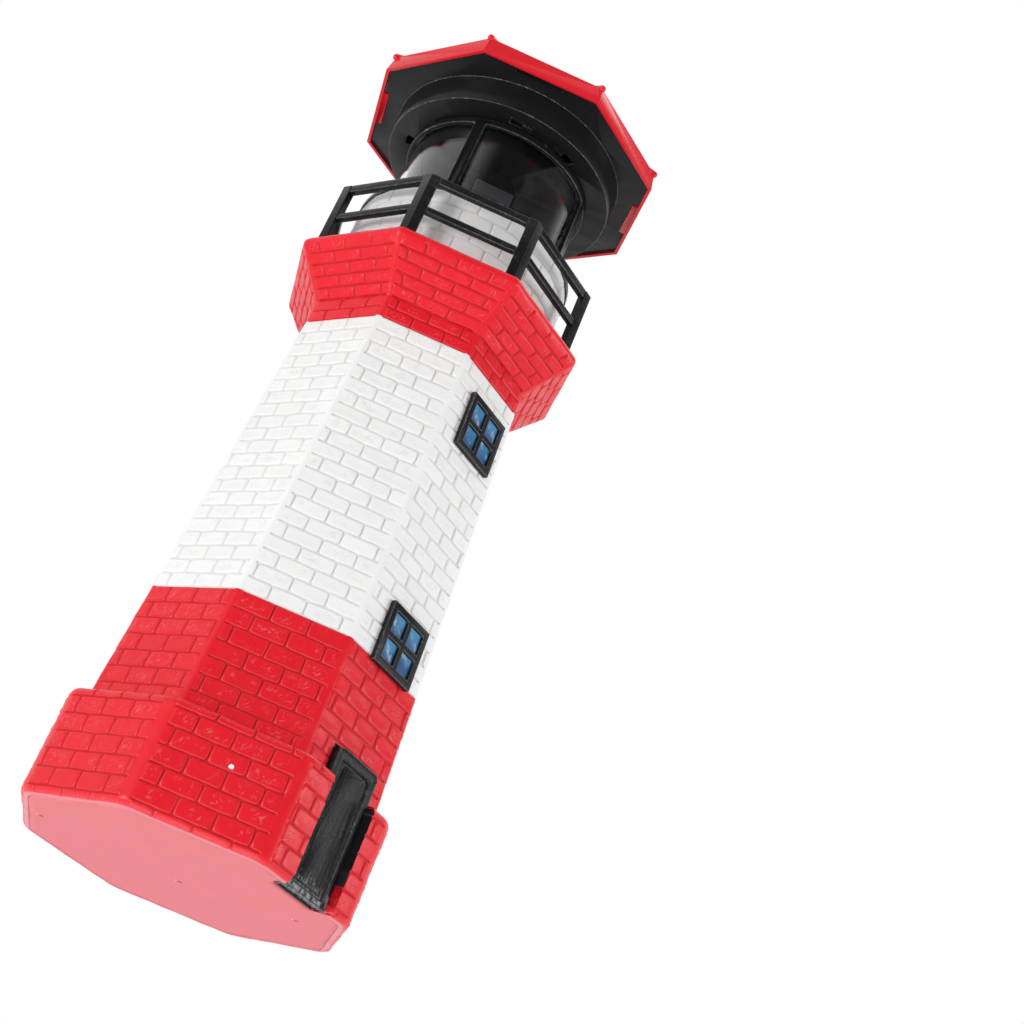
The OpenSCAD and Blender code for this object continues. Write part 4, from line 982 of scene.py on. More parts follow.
@dataclass(frozen=True)
class PaintShop:
    """Every finish of the object, by what it is on.

    Attributes:
        red_brick: the plinth's, foot's and gallery's paint.
        white_brick: the shaft's and drum's paint.
        underside: the bottom plate's paint.
        door_paint: the door's paint.
        frame_paint: the window frames' paint.
        rail_paint: the railing's paint.
        rubbed_edge_highlight: the painted parts' rounded edges, lighter for rubbed wear and a painted highlight.
        black_plastic: the lantern's, housing's and knob's plastic.
        moulded_edge_highlight: that plastic's rounded edges, lighter for a painted highlight and rubbed wear.
        lamp_plastic: the lamp block's plastic.
        plate_plastic: the lamp plates' plastic.
        roof_plastic: the roof's and ball's plastic.
        clear: the tube's plastic.
        clear_lamp: the lamps' and caps' plastic.
        nylon: the gear's and sleeve's plastic.
        board: the circuit board's lacquer.
        chip: the plastic of the small parts inside.
        sleeve: the battery's sleeve.
        foam: the pad under the panel.
        steel: the screws', motor's and spring's metal.
        brass: the contacts', rings' and pinion's metal.
    """

    red_brick: BrickPaint = BrickPaint("red painted brick", srgb(226, 20, 36), srgb(172, 6, 20), srgb(255, 124, 134),
                                       srgb(232, 28, 44), 0.55, 0.36, 0.32, 0.3, ((-35.8, -38.7, 21.9),))
    white_brick: BrickPaint = BrickPaint("white painted brick", srgb(242, 242, 241), srgb(200, 194, 188),
                                         srgb(250, 250, 250), srgb(236, 237, 238), 0.4, 0.3, 0.42, 0.25)
    underside: MarkedPaint = MarkedPaint("pink underside", UNDERSIDE, UNDERSIDE_WORN, 0.55, 0.06, 160.0,
                                         (1.0, 1.0, 1.0), 0.3, 0.0, srgb(190, 44, 54),
                                         ((-33.6, 30.9, 0.1), (5.6, 4.9, 0.1), (23.3, -30.3, 0.1)))
    door_paint: ScuffedPaint = ScuffedPaint("black door paint", srgb(18, 18, 21), srgb(96, 96, 100), 0.3, 0.45, 900.0,
                                            (1.0, 1.0, 0.06), 0.3, 0.1, srgb(138, 138, 141), 11.0)
    frame_paint: SatinPaint = SatinPaint("black frame paint", srgb(22, 22, 24), srgb(84, 84, 86), 0.36, 0.12, 700.0)
    rail_paint: SatinPaint = SatinPaint("black rail paint", srgb(24, 24, 26), srgb(92, 92, 94), 0.32, 0.12, 700.0,
                                        (0.35, 0.35, 1.0), 0.45)
    # Rounded edges of the black paint, lighter: rubbed wear and a painted highlight
    rubbed_edge_highlight: SatinPaint = SatinPaint("black paint rubbed and highlighted on the edges", srgb(62, 62, 65), srgb(150, 150, 153), 0.3,
                                         0.12, 700.0, (1.0, 1.0, 1.0), 0.6)
    black_plastic: MouldedPlastic = MouldedPlastic("black moulded plastic", srgb(22, 22, 24), srgb(29, 28, 30), 0.3,
                                                   0.03, 0.2, 0.05, 0.2)
    # Rounded edges of the black plastic, much lighter: a painted highlight, with rubbed wear
    moulded_edge_highlight: SatinPaint = SatinPaint("black plastic highlighted along the edges", srgb(54, 54, 57), srgb(176, 176, 180), 0.28,
                                          0.05, 420.0, (1.0, 1.0, 1.0), 0.7, 0.02)
    lamp_plastic: MouldedPlastic = MouldedPlastic("black lamp plastic", srgb(20, 20, 22), srgb(26, 26, 28), 0.34,
                                                  0.005, 0.1, 0.02, 0.12)
    plate_plastic: MouldedPlastic = MouldedPlastic("grey plate plastic", srgb(96, 98, 101), srgb(112, 114, 118), 0.36)
    roof_plastic: MouldedPlastic = MouldedPlastic("red roof plastic", srgb(224, 30, 44), srgb(216, 24, 38), 0.26,
                                                  0.012, 0.2, 0.06, 0.35)
    clear: ClearPlastic = ClearPlastic("clear lantern plastic", (0.97, 0.975, 0.98), 1.45, 0.0, 0.01)
    clear_lamp: ClearPlastic = ClearPlastic("clear lamp plastic", (0.97, 0.975, 0.98), 1.5, 0.0, 0.02)
    nylon: MouldedPlastic = MouldedPlastic("natural nylon", srgb(236, 232, 218), srgb(226, 220, 202), 0.45)
    board: MouldedPlastic = MouldedPlastic("green board lacquer", srgb(24, 92, 48), srgb(18, 78, 40), 0.3, 0.05)
    chip: MouldedPlastic = MouldedPlastic("dark part plastic", srgb(38, 38, 41), srgb(50, 50, 54), 0.42)
    sleeve: MouldedPlastic = MouldedPlastic("battery sleeve", srgb(34, 120, 66), srgb(26, 104, 56), 0.28)
    foam: SatinPaint = SatinPaint("foam pad", srgb(226, 221, 208), srgb(206, 200, 186), 0.85, 0.4, 900.0)
    steel: BareMetal = BareMetal("bright steel", srgb(188, 190, 194), srgb(150, 152, 156), 0.26)
    brass: BareMetal = BareMetal("bright brass", srgb(214, 176, 92), srgb(168, 128, 60), 0.26, (0.1, 1.0, 1.0))


SHOP = PaintShop()


def wire_finish(name: str, colour: Colour) -> MouldedPlastic:
    """The finish of a wire's insulation."""
    return MouldedPlastic(name, colour, tuple(0.8 * c for c in colour), 0.38, 0.02, 0.1)


# Placing -----------------------------------------------------------------------------------------------------


def fit_out(piece: bpy.types.Object, body: str, finish: Finish, slot: str, *nodes: str) -> bpy.types.Object:
    """Gives a new piece its finish and body.

    Args:
        piece: the piece.
        body: the CAD body that it rides on.
        finish: its finish.
        slot: the record's material slot; not used.
        nodes: the CAD nodes that it stands for.

    Returns:
        The piece.
    """
    finish.put_on(piece)
    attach(piece, body)
    if nodes:
        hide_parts(*nodes)
    log.info("%s rides on %s, %d faces", piece.name, body, len(piece.data.polygons))
    return piece


def keep_node(node: str, finish: Finish, rounding: float = 0.0, smooth_angle: float = 35,
              edge: Finish | None = None) -> bpy.types.Object:
    """Dresses a CAD node whose shape is right.

    Args:
        node: the node's name.
        finish: its finish.
        rounding: how much its edges are rounded, in millimetres.
        smooth_angle: the angle up to which its faces are shaded smooth, in degrees.
        edge: the finish of its rounded edges, lighter for rubbed wear and a painted highlight.

    Returns:
        The node's object.
    """
    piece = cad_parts[node]
    finish.put_on(piece)
    mesh = piece.data
    mesh.polygons.foreach_set("use_smooth", [True] * len(mesh.polygons))
    mesh.set_sharp_from_angle(angle=math.radians(smooth_angle))
    # The edge finish paints the rounded edges lighter: rubbed wear and a painted highlight
    if edge is not None:
        mesh.materials.append(edge.material())
    if rounding:
        round_edges(piece, rounding, -1 if edge is None else 1)
    log.info("%s keeps its solid", node)
    return piece


# Brick courses -----------------------------------------------------------------------------------------------


class Outline(Enum):
    """The plan of a brick surface."""

    OCTAGON = "octagon"
    ROUND = "round"


@dataclass(frozen=True)
class Course:
    """One course of bricks, or one plain stretch, of a wall.

    Attributes:
        low: where it starts, in millimetres along the wall's profile.
        high: where it ends.
        shift: the share of a brick at which its head joints start, or None for a plain stretch.
        bed: whether a bed joint runs along its lower end.
    """

    low: float
    high: float
    shift: float | None = None
    bed: bool = True


@dataclass(frozen=True)
class Pocket:
    """The cut in the front face that the door sits in. Sizes in millimetres.

    Attributes:
        left: its left edge along X.
        right: its right edge along X.
        top: its height.
        back: its back along Y.
        side: the number of the tower's side that it is in.
    """

    left: float = -8.72
    right: float = 12.72
    top: float = 45.2
    back: float = -45.9
    side: int = 6


@dataclass
class CourseWall:
    """A wall of painted brick courses on an eight-sided or round plan.

    Attributes:
        name: the piece's name.
        outline: its plan.
        profile: its outer outline as (radius, height, corner rounding) in millimetres, from below up. The radius
            of an eight-sided plan goes to its sharp corners.
        courses: its courses from below up, without gaps.
        inner: the radius of the wall's inside in millimetres.
        seed: its own randomness.
        top_bed: whether the wall ends above in a bed joint.
        pocket: the door's pocket, if it has one.
        bare: how far along the profile it is left without its paint.
        brick: a brick's length with its joint.
        slip: the share of a brick by which each side's joints are shifted.
        blank: the half width of the smooth band along each corner.
        depth: the depth of the joints.
        lift: how far single bricks stand in or out.
        wave: the height of the walls' slow waves.
        rim: the height of the raised rims along the joints.
        round_reach: how near to a brick's corner its joints start to round off.
        drift: how far the joints wander.
        fade: how far the paint fades in above the bare stretch.
        foot_clear: up to what height the pocket's right wall keeps its paint.
    """

    name: str
    outline: Outline
    profile: Sequence[tuple[float, float, float]]
    courses: Sequence[Course]
    inner: float
    seed: int = 1
    top_bed: bool = True
    pocket: Pocket | None = None
    bare: float = -1.0
    brick: float = 11.8
    slip: float = 0.29
    blank: float = 1.15
    depth: float = 0.45
    lift: float = 0.12
    wave: float = 0.1
    rim: float = 0.14
    round_reach: float = 1.2
    drift: float = 0.13
    fade: float = 3.4
    foot_clear: float = 9.0

    def lengths(self) -> np.ndarray:
        """The distance of each profile point from the first, along the profile, in millimetres."""
        points = np.array(self.profile, float)[:, :2]
        return np.concatenate([[0], np.cumsum(np.hypot(*np.diff(points, axis=0).T))])

    def at(self, along: np.ndarray) -> tuple[np.ndarray, np.ndarray, np.ndarray]:
        """The wall's measures at distances along its profile.

        Args:
            along: the distances in millimetres.

        Returns:
            The radius, the height and the corner rounding at each.
        """
        lengths = self.lengths()
        radius, level, corner = (np.interp(along, lengths, column) for column in zip(*self.profile))
        return radius, level, corner

    def side_size(self, radius: np.ndarray, corner: np.ndarray) -> np.ndarray:
        """The length of one eighth of the way round, along the surface.

        Args:
            radius: the plan's radius in millimetres.
            corner: the rounding of its corners.

        Returns:
            The length in millimetres.
        """
        if self.outline is Outline.ROUND:
            return radius * SIDE_TURN
        return 2 * (radius * math.sin(HALF_TURN) - corner * (math.tan(HALF_TURN) - HALF_TURN))

    def plan(self, share: np.ndarray, radius: np.ndarray, corner: np.ndarray) -> tuple[np.ndarray, np.ndarray]:
        """Places and outward directions round the plan.

        Args:
            share: how far round, in whole sides from the middle of the side at +X.
            radius: the plan's radius there, in millimetres.
            corner: the rounding of its corners there.

        Returns:
            The points and the directions, each of shape (..., 2).
        """
        if self.outline is Outline.ROUND:
            turn = share * SIDE_TURN
            way = np.stack([np.cos(turn), np.sin(turn)], axis=-1)
            return way * radius[..., None], way
        side = np.floor(share + 0.5)
        part = share - side
        along = part * self.side_size(radius, corner)
        straight = radius * math.sin(HALF_TURN) - corner * math.tan(HALF_TURN)
        lean = np.clip(np.abs(along) - straight, 0, None) / np.maximum(corner, 1e-6) * np.sign(part)
        x = radius * FLATNESS - corner + corner * np.cos(lean)
        y = np.clip(along, -straight, straight) + corner * np.sin(lean)
        turn = side * SIDE_TURN
        point = np.stack([x * np.cos(turn) - y * np.sin(turn), x * np.sin(turn) + y * np.cos(turn)], axis=-1)
        return point, np.stack([np.cos(turn + lean), np.sin(turn + lean)], axis=-1)

    def sizes(self, course: Course) -> tuple[float, float]:
        """The sizes of one side in the middle of a course.

        Args:
            course: the course.

        Returns:
            The side's length and the half width of its plain corner, in millimetres.
        """
        radius, _, corner = self.at(np.array((course.low + course.high) / 2))
        arc = float(corner) * HALF_TURN if self.outline is Outline.OCTAGON else 0.0
        return float(self.side_size(radius, corner)), max(self.blank, 0.6 * arc)

    def heads(self, course: Course) -> np.ndarray:
        """The places of a course's head joints round the plan.

        Args:
            course: the course.

        Returns:
            The places in sides.
        """
        if course.shift is None:
            return np.array([])
        size, blank = self.sizes(course)
        if self.outline is Outline.ROUND:
            count = round(SIDES * size / self.brick)
            return (np.arange(count) + course.shift % 1) * SIDES / count - 0.5
        places = []
        for side in range(SIDES):
            start = (course.shift + self.slip * (side - MEASURED_SIDE)) % 1
            across = self.brick * (np.arange(-4, 4) + start)
            places += list(side + across[np.abs(across) < size / 2 - blank - 0.7] / size)
        return np.array(places)

    def lines_round(self, course: Course) -> np.ndarray:
        """The mesh's lines round the plan in a course, crowded at its head joints and corners.

        Args:
            course: the course.

        Returns:
            The lines' places in sides.
        """
        size, blank = self.sizes(course)
        marks = [side * size - size / 2 for side in range(SIDES)]
        if self.outline is Outline.OCTAGON:
            arc = float(self.at(np.array((course.low + course.high) / 2))[2]) * HALF_TURN
            steps = [*np.linspace(0, arc, max(3, round(arc / 0.6)))[1:], blank, blank + 0.15]
            marks += [mark + way * step for mark in marks[:SIDES] for step in steps for way in (-1, 1)]
        marks += [place * size + way * near for place in self.heads(course) for near in JOINT_STEPS for way in (-1, 1)]
        if self.pocket is not None:
            middle = self.pocket.side * size
            edges = (middle + self.pocket.left, middle + self.pocket.right)
            marks = [mark for mark in marks if min(abs(mark - edge) for edge in edges) > 0.3]
            marks += [edge + way * step for edge, way in zip(edges, (-1, 1)) for step in (0.0, 0.06, 0.2)]
        start, end = -size / 2, (SIDES - 0.5) * size
        wrapped = sorted((mark - start) % (end - start) + start for mark in marks)
        kept = [start]
        for mark in [*wrapped, end]:
            gap = mark - kept[-1]
            if gap < 0.05:
                continue
            count = math.ceil(gap / FILL_STEP)
            kept += [kept[-1] + gap * (i + 1) / count for i in range(count)]
        return np.array(kept[:-1]) / size

    def lines_up(self, index: int) -> np.ndarray:
        """The mesh's lines along the profile in a course, crowded at its bed joints.

        Args:
            index: which course.

        Returns:
            Their distances along the profile, in millimetres.
        """
        course, last = self.courses[index], len(self.courses) - 1
        upper_bed = self.top_bed if index == last else self.courses[index + 1].bed
        near = np.array(JOINT_STEPS)
        low = near[0 if index == 0 else 1:] if course.bed else np.array([0.0])
        high = near[0 if index == last else 1:] if upper_bed else np.array([0.0] if index == last else [])
        marks = [*(course.low + low), *(course.high - high)]
        marks += [at for at in self.lengths() if course.low + 0.3 < at < course.high - 0.3]
        if self.pocket is not None:
            top = float(np.interp(self.pocket.top, [z for _, z, _ in self.profile], self.lengths()))
            if course.low < top < course.high:
                marks += [top, top + 0.06, top + 0.2]
        kept = []
        for mark in sorted(marks):
            if kept and mark - kept[-1] < 0.05:
                continue
            count = math.ceil((mark - kept[-1]) / FILL_STEP) if kept else 1
            kept += [kept[-1] + (mark - kept[-1]) * (i + 1) / count for i in range(count)] if kept else [mark]
        return np.array(kept)

    def relief(self, index: int, share: np.ndarray, along: np.ndarray) -> tuple[np.ndarray, ...]:
        """The height of a course's surface over its profile.

        Args:
            index: which course.
            share: how far round each point is, in sides.
            along: how far along the profile it is.

        Returns:
            The height in millimetres, the joint mask, the brick's own shade and where it is tooled.
        """
        course, last = self.courses[index], len(self.courses) - 1
        size, blank = self.sizes(course)
        upper_bed = self.top_bed if index == last else self.courses[index + 1].bed
        bed = np.full(share.shape, 9.0)
        if course.bed:
            bed = np.minimum(bed, along - course.low)
        if upper_bed:
            bed = np.minimum(bed, course.high - along)
        heads = self.heads(course)
        head = np.full(share.shape, 9.0)
        for place in heads:
            off = np.abs(share - place)
            head = np.minimum(head, np.minimum(off, SIDES - off) * size)
        corners = np.arange(SIDES) - 0.5 if self.outline is Outline.OCTAGON else np.array([])
        bounds = np.sort(np.concatenate([heads, corners]))
        brick = np.searchsorted(bounds, share, side="right") % max(1, len(bounds))
        own = np.stack([brick * 3.37 + 0.5, np.full(share.shape, index * 2.71 + 0.5), share * 0 + 0.5], axis=-1)
        lift, shade = value_noise(own, self.seed + 4), value_noise(own + 31.0, self.seed + 6)
        round_mm = share * size
        place = np.stack([round_mm * 0.23, along * 0.31, share * 0], axis=-1)
        wave, worn = value_noise(place, self.seed + 2), value_noise(place * 0.7 + 13.0, self.seed + 1)
        corner_room = np.full(share.shape, 9.0)
        if self.outline is Outline.OCTAGON:
            corner_room = (0.5 - np.abs(share - np.floor(share + 0.5))) * size - blank
        open_part = np.clip(corner_room / 0.15, 0, 1)
        reach = self.round_reach
        near = np.where((bed < reach) & (head < reach), reach - np.hypot(reach - bed, reach - head),
                        np.minimum(bed, head))
        cut = np.interp(near, JOINT_STEPS[1:4], (1.0, 0.2, 0.0)) * open_part
        laid_brick = float(course.shift is not None)
        rim = smooth_step(0.38, 0.56, near) * (1 - smooth_step(0.8, 1.5, near)) * laid_brick * open_part
        height = (1 - cut) * (self.lift * laid_brick * lift * open_part + self.wave * wave)
        height += self.rim * rim * (0.75 + 0.25 * worn)
        height -= self.depth * cut * (0.85 + 0.15 * worn)
        tooled = smooth_step(0.7, 1.7, near) * smooth_step(0.0, 1.0, corner_room) * np.clip(0.75 + 0.9 * shade, 0, 1)
        return height, cut, 0.5 + 0.5 * laid_brick * shade, laid_brick * tooled

    def line(self, index: int, at: float, share: np.ndarray) -> tuple[np.ndarray, dict[Layer, np.ndarray]]:
        """The points and masks of one line round the wall.

        Args:
            index: which course it is in.
            at: its distance along the profile.
            share: its points' places round the plan, in sides.

        Returns:
            The points in millimetres and their masks.
        """
        total = float(self.lengths()[-1])
        along = np.full(share.shape, at)
        radius, level, corner = self.at(along)
        ends = self.at(np.clip(np.array([at - 0.2, at + 0.2]), 0, total))
        run, rise = (ends[0][1] - ends[0][0]), (ends[1][1] - ends[1][0])
        run *= FLATNESS if self.outline is Outline.OCTAGON else 1
        size = max(math.hypot(run, rise), 1e-9)
        height, cut, shade, tooled = self.relief(index, share, along)
        calm = np.full(share.shape, float(smooth_step(0.0, 1.5, np.array(min(at, total - at)))))
        near_door = np.zeros(share.shape, bool)
        if self.pocket is not None:
            point, _ = self.plan(share, radius, corner)
            across = np.abs(point[:, 0] - (self.pocket.left + self.pocket.right) / 2)
            half = (self.pocket.right - self.pocket.left) / 2
            front = (point[:, 1] < -40) & (level < self.pocket.top + 1.5)
            calm = np.where(front & (across < half + 1.5), 0, calm)
            near_door = front & (across < half + 0.1) & (level < self.pocket.top + 0.1)
        drift = np.stack([share * 7.1, along * 0.19, share * 0], axis=-1)
        side = float(self.sizes(self.courses[index])[0])
        moved = share + calm * self.drift / side * value_noise(drift, self.seed + 8)
        point, way = self.plan(moved, radius, corner)
        flat = point + way * (height * rise / size)[:, None]
        sunk = self.drift * calm * value_noise(drift + 5.0, self.seed + 9) * abs(rise) / size
        high = level - height * run / size + sunk
        points = np.concatenate([flat, high[:, None]], axis=-1)
        if self.pocket is not None:
            inside = near_door & (across < half + 0.03) & (level < self.pocket.top + 0.03)
            points[inside, 1] = self.pocket.back + 0.02 * (points[inside, 1] - self.pocket.back)
        painted = float(smooth_step(self.bare, self.bare + self.fade, np.array(at)))
        fading = 0.0 if self.bare < 0 else 0.45 * (1 - painted)
        bare = np.full(share.shape, 1.0 if at <= self.bare else fading)
        right_wall = near_door & (point[:, 0] > self.pocket.right - 3) if self.pocket is not None else near_door
        ink = np.where(right_wall & (level < self.foot_clear), 0.0, near_door.astype(float))
        return points, {Layer.JOINT: cut, Layer.SHADE: shade, Layer.BARE: bare, Layer.INK: ink, Layer.TOOLED: tooled}

    def build(self) -> bpy.types.Object:
        """Makes the wall as one closed mesh, with its masks as colour layers.

        Returns:
            The wall's object.
        """
        shares: list[np.ndarray] = []
        points: list[np.ndarray] = []
        masks: dict[Layer, list[np.ndarray]] = {layer: [] for layer in Layer}
        for index, course in enumerate(self.courses):
            share = self.lines_round(course)
            for at in self.lines_up(index):
                line, marks = self.line(index, float(at), share)
                shares.append(share)
                points.append(line)
                for layer, values in marks.items():
                    masks[layer].append(values)
        for end, level in ((0, self.profile[0][1]), (-1, self.profile[-1][1])):
            way = points[end][:, :2] / np.hypot(*points[end][:, :2].T)[:, None]
            ring = np.concatenate([way * self.inner, np.full((len(way), 1), level)], axis=-1)
            at = 0 if end == 0 else len(points)
            shares.insert(at, shares[end])
            points.insert(at, ring)
            for values in masks.values():
                values.insert(at, np.zeros(len(way)))
        starts = np.concatenate([[0], np.cumsum([len(line) for line in points])])
        faces: list[tuple[int, ...]] = []
        for i in range(len(points)):
            j = (i + 1) % len(points)
            faces += zipped(shares[i], shares[j], int(starts[i]), int(starts[j]))
        mesh = bpy.data.meshes.new(self.name)
        mesh.from_pydata((np.concatenate(points) * MM).tolist(), [], faces)
        for layer, values in masks.items():
            colours = np.repeat(np.clip(np.concatenate(values), 0, 1)[:, None], 4, axis=1)
            colours[:, 3] = 1
            stored = mesh.color_attributes.new(layer.value, "FLOAT_COLOR", "POINT")
            stored.data.foreach_set("color", colours.reshape(-1))
        mesh.polygons.foreach_set("use_smooth", [True] * len(mesh.polygons))
        mesh.set_sharp_from_angle(angle=math.radians(75))
        return new_object(self.name, mesh)


def zipped(below: np.ndarray, above: np.ndarray, start_below: int, start_above: int) -> list[tuple[int, ...]]:
    """Faces between two closed lines of points, whichever places their points have.

    Args:
        below: the lower line's places, rising.
        above: the upper line's places, rising, with the same first place.
        start_below: the number of the lower line's first point.
        start_above: the number of the upper line's first point.

    Returns:
        The faces, turned outwards.
    """
    count, other = len(below), len(above)
    if count == other and np.allclose(below, above):
        return [(start_below + i, start_below + (i + 1) % count, start_above + (i + 1) % count, start_above + i)
                for i in range(count)]
    faces: list[tuple[int, ...]] = []
    ends = float("inf")
    i = j = 0
    while i < count or j < other:
        here, there = start_below + i % count, start_above + j % other
        next_below = below[i + 1] if i + 1 < count else (below[0] + SIDES if i < count else ends)
        next_above = above[j + 1] if j + 1 < other else (above[0] + SIDES if j < other else ends)
        right, upper_right = start_below + (i + 1) % count, start_above + (j + 1) % other
        if abs(next_below - next_above) < 1e-4:
            faces.append((here, right, upper_right, there))
            i, j = i + 1, j + 1
        elif next_below < next_above:
            faces.append((here, right, there))
            i += 1
        else:
            faces.append((here, upper_right, there))
            j += 1
    return faces


def laid(beds: Sequence[float], first: float, bond: float) -> list[Course]:
    """Courses between bed joints.

    Args:
        beds: the bed joints' distances along the profile, rising.
        first: the share of a brick at which the lowest course starts.
        bond: the share of a brick by which each course is shifted against the one below.

    Returns:
        The courses.
    """
    return [Course(low, high, first + bond * i) for i, (low, high) in enumerate(zip(beds, beds[1:]))]


def arc_profile(radius: float, level: float, size: float, corner: float, start: float, end: float, steps: int
                ) -> list[tuple[float, float, float]]:
    """Points of a rounded edge of a wall's profile.

    Args:
        radius: the wall's radius outside the edge.
        level: the height of the rounding's centre.
        size: the rounding's radius.
        corner: the plan's corner rounding outside the edge.
        start: the first direction, in degrees up from outwards.
        end: the last direction.
        steps: how many steps it has.

    Returns:
        The points as (radius, height, corner rounding).
    """
    turns = [math.radians(start + (end - start) * i / steps) for i in range(steps + 1)]
    return [(radius - size * (1 - math.cos(t)) / FLATNESS, level + size * math.sin(t),
             corner - min(corner - 0.5, size) * (1 - math.cos(t))) for t in turns]


def levels(start: float, end: float, count: int) -> list[float]:
    """count equal steps between two distances, with both ends."""
    return [start + (end - start) * i / count for i in range(count + 1)]


# The tower ---------------------------------------------------------------------------------------------------


@dataclass
class Tower:
    """The tower that stands on the ground, with its door, windows and railing. Sizes in millimetres.

    Attributes:
        plinth_r: centre to corner of the plinth.
        plinth_h: its height.
        corner_round: the rounding of its corners in plan.
        edge_round: the rounding of its lower and upper edge.
        foot_r: centre to corner of the tower over the plinth.
        top_r: the same under the gallery.
        paint_z: the height of the paint's edge from red to white.
        neck_z: the height at which the white courses end.
        flare_z: the height at which the flare starts.
        gallery_z: the gallery's height.
        gallery_r: centre to corner of the gallery.
        drum_r: the drum's radius.
        drum_h: its height.
        course_h: the height of a red course with its joint.
        edge: the rounding of the tower's corners in plan.
        rim: the width of the wall's lip round the underside.
        plinth_bond: the plinth's first shift and shift from course to course, as shares of a brick.
        foot_bond: the same for the red courses over the plinth.
        white_bond: the same for the white courses.
        gallery_bond: the same for the gallery.
        drum_bond: the same for the drum.
        plinth_courses: how many whole courses the plinth has.
        foot_courses: how many whole courses lie between the plinth's cut course and the white paint.
        white_courses: how many white courses there are.
        pane_h: the height over a window's panes, in metres.
        pane_feet: the height of each window's panes over the ground, in metres.
        body: the CAD body that all of it rides on.
    """

    plinth_r: float = 57.0
    plinth_h: float = 35.5
    corner_round: float = 9.0
    edge_round: float = 2.5
    foot_r: float = 51.2
    top_r: float = 43.0
    paint_z: float = 76.0
    neck_z: float = 189.0
    flare_z: float = 198.2
    gallery_z: float = 218.2
    gallery_r: float = 56.7
    drum_r: float = 41.5
    drum_h: float = 29.8
    course_h: float = 5.95
    edge: float = 2.2
    rim: float = 2.9
    plinth_bond: tuple[float, float] = (0.36, 0.405)
    foot_bond: tuple[float, float] = (0.26, 0.37)
    white_bond: tuple[float, float] = (0.2, 0.42)
    gallery_bond: tuple[float, float] = (0.55, 0.42)
    drum_bond: tuple[float, float] = (0.3, 0.45)
    plinth_courses: int = 5
    foot_courses: int = 6
    white_courses: int = 21
    pane_h: float = 0.0162
    pane_feet: tuple[tuple[str, float], ...] = (("lower", 0.0775), ("upper", 0.1608))
    body: str = "tower"

    def wall_r(self, z: float) -> float:
        """Centre to corner of the tower at a height."""
        return self.foot_r - (self.foot_r - self.top_r) * (z - self.plinth_h) / (self.neck_z - self.plinth_h)

    def base(self) -> bpy.types.Object:
        """The plinth and the red courses over it, with the pocket for the door.

        Returns:
            The piece.
        """
        e, r, corner = self.edge_round, self.plinth_r, self.corner_round
        inset = r - self.rim / FLATNESS
        profile = [(inset, 3.05, corner - 2), (inset, 0.0, corner - 2)]
        profile += arc_profile(r, e, e, corner, -90, 0, 6)
        face = len(profile) - 1
        profile += arc_profile(r, self.plinth_h - e, e, corner, 0, 90, 6)
        profile += [(self.wall_r(self.plinth_h), self.plinth_h, self.edge),
                    (self.wall_r(self.paint_z), self.paint_z, self.edge)]
        wall = CourseWall("red_base_courses", Outline.OCTAGON, profile, [], 38.0, 11, pocket=Pocket())
        lengths = [float(at) for at in wall.lengths()]
        wall.bare = lengths[3] + 0.01
        beds = [lengths[face] + self.course_h * i for i in range(self.plinth_courses + 1)]
        foot, top = lengths[-2], lengths[-1]
        slope = (top - foot) / (self.paint_z - self.plinth_h)
        foot_beds = [foot] + [top - self.course_h * slope * i for i in range(self.foot_courses, -1, -1)]
        start, bond = self.plinth_bond
        courses = laid(foot_beds, *self.foot_bond)
        lip, brow = lengths[4], lengths[-4]
        wall.courses = [Course(0.0, lip, None, False), Course(lip, beds[0], start - bond, False),
                        *laid(beds, start, bond), Course(beds[-1], brow, start + self.plinth_courses * bond),
                        Course(brow, foot, None, False), replace(courses[0], bed=False), *courses[1:]]
        return fit_out(wall.build(), self.body, SHOP.red_brick, "tower_red", "base_section")

    def underside(self) -> bpy.types.Object:
        """The plate that closes the plinth, cast with a slightly uneven face, over the CAD plate.

        Returns:
            The piece.
        """
        radius, corner = self.plinth_r - (self.rim + 0.02) / FLATNESS, self.corner_round - self.rim
        plan = CourseWall("plan", Outline.OCTAGON, [(radius, 0.0, corner), (radius, 1.0, corner)], [], 1.0)
        pocket, size = Pocket(), float(plan.side_size(np.array(radius), np.array(corner)))
        edges = [pocket.side + (at + step) / size for at in (pocket.left, pocket.right) for step in (-0.02, 0.02)]
        share = np.sort([*np.linspace(-0.5, SIDES - 0.5, SIDES * 16, endpoint=False), *edges])
        outline, _ = plan.plan(share, np.full(share.shape, radius), np.full(share.shape, corner))
        rings = []
        for part in (1.0, 0.96, 0.92, *np.linspace(0.84, 0.08, 11)):
            flat = np.concatenate([outline * part, np.zeros((len(outline), 1))], axis=-1)
            cut = (flat[:, 1] < pocket.back) & (flat[:, 0] > pocket.left) & (flat[:, 0] < pocket.right)
            flat[cut, 1] = np.maximum(flat[cut, 1], pocket.back + 0.1 + 6.0 * (1.0 - part))
            if part == 1.0:
                rings.append(flat + (0.0, 0.0, 3.0))
            flat[:, 2] = 0.06 + 0.06 * value_noise(flat * 0.09 + 3.0, 71)
            rings.append(flat)
        piece = loft("pink_underside_plate", [ring.tolist() for ring in rings])
        return fit_out(piece, self.body, SHOP.underside, "base_pink", "bottom_plate")

    def shaft(self) -> bpy.types.Object:
        """The white courses.

        Returns:
            The piece.
        """
        profile = [(self.wall_r(z), z, self.edge) for z in (self.paint_z, self.neck_z)]
        wall = CourseWall("white_shaft_courses", Outline.OCTAGON, profile, [], 34.0, 23)
        wall.courses = laid(levels(0, float(wall.lengths()[-1]), self.white_courses), *self.white_bond)
        return fit_out(wall.build(), self.body, SHOP.white_brick, "tower_white", "shaft_section")

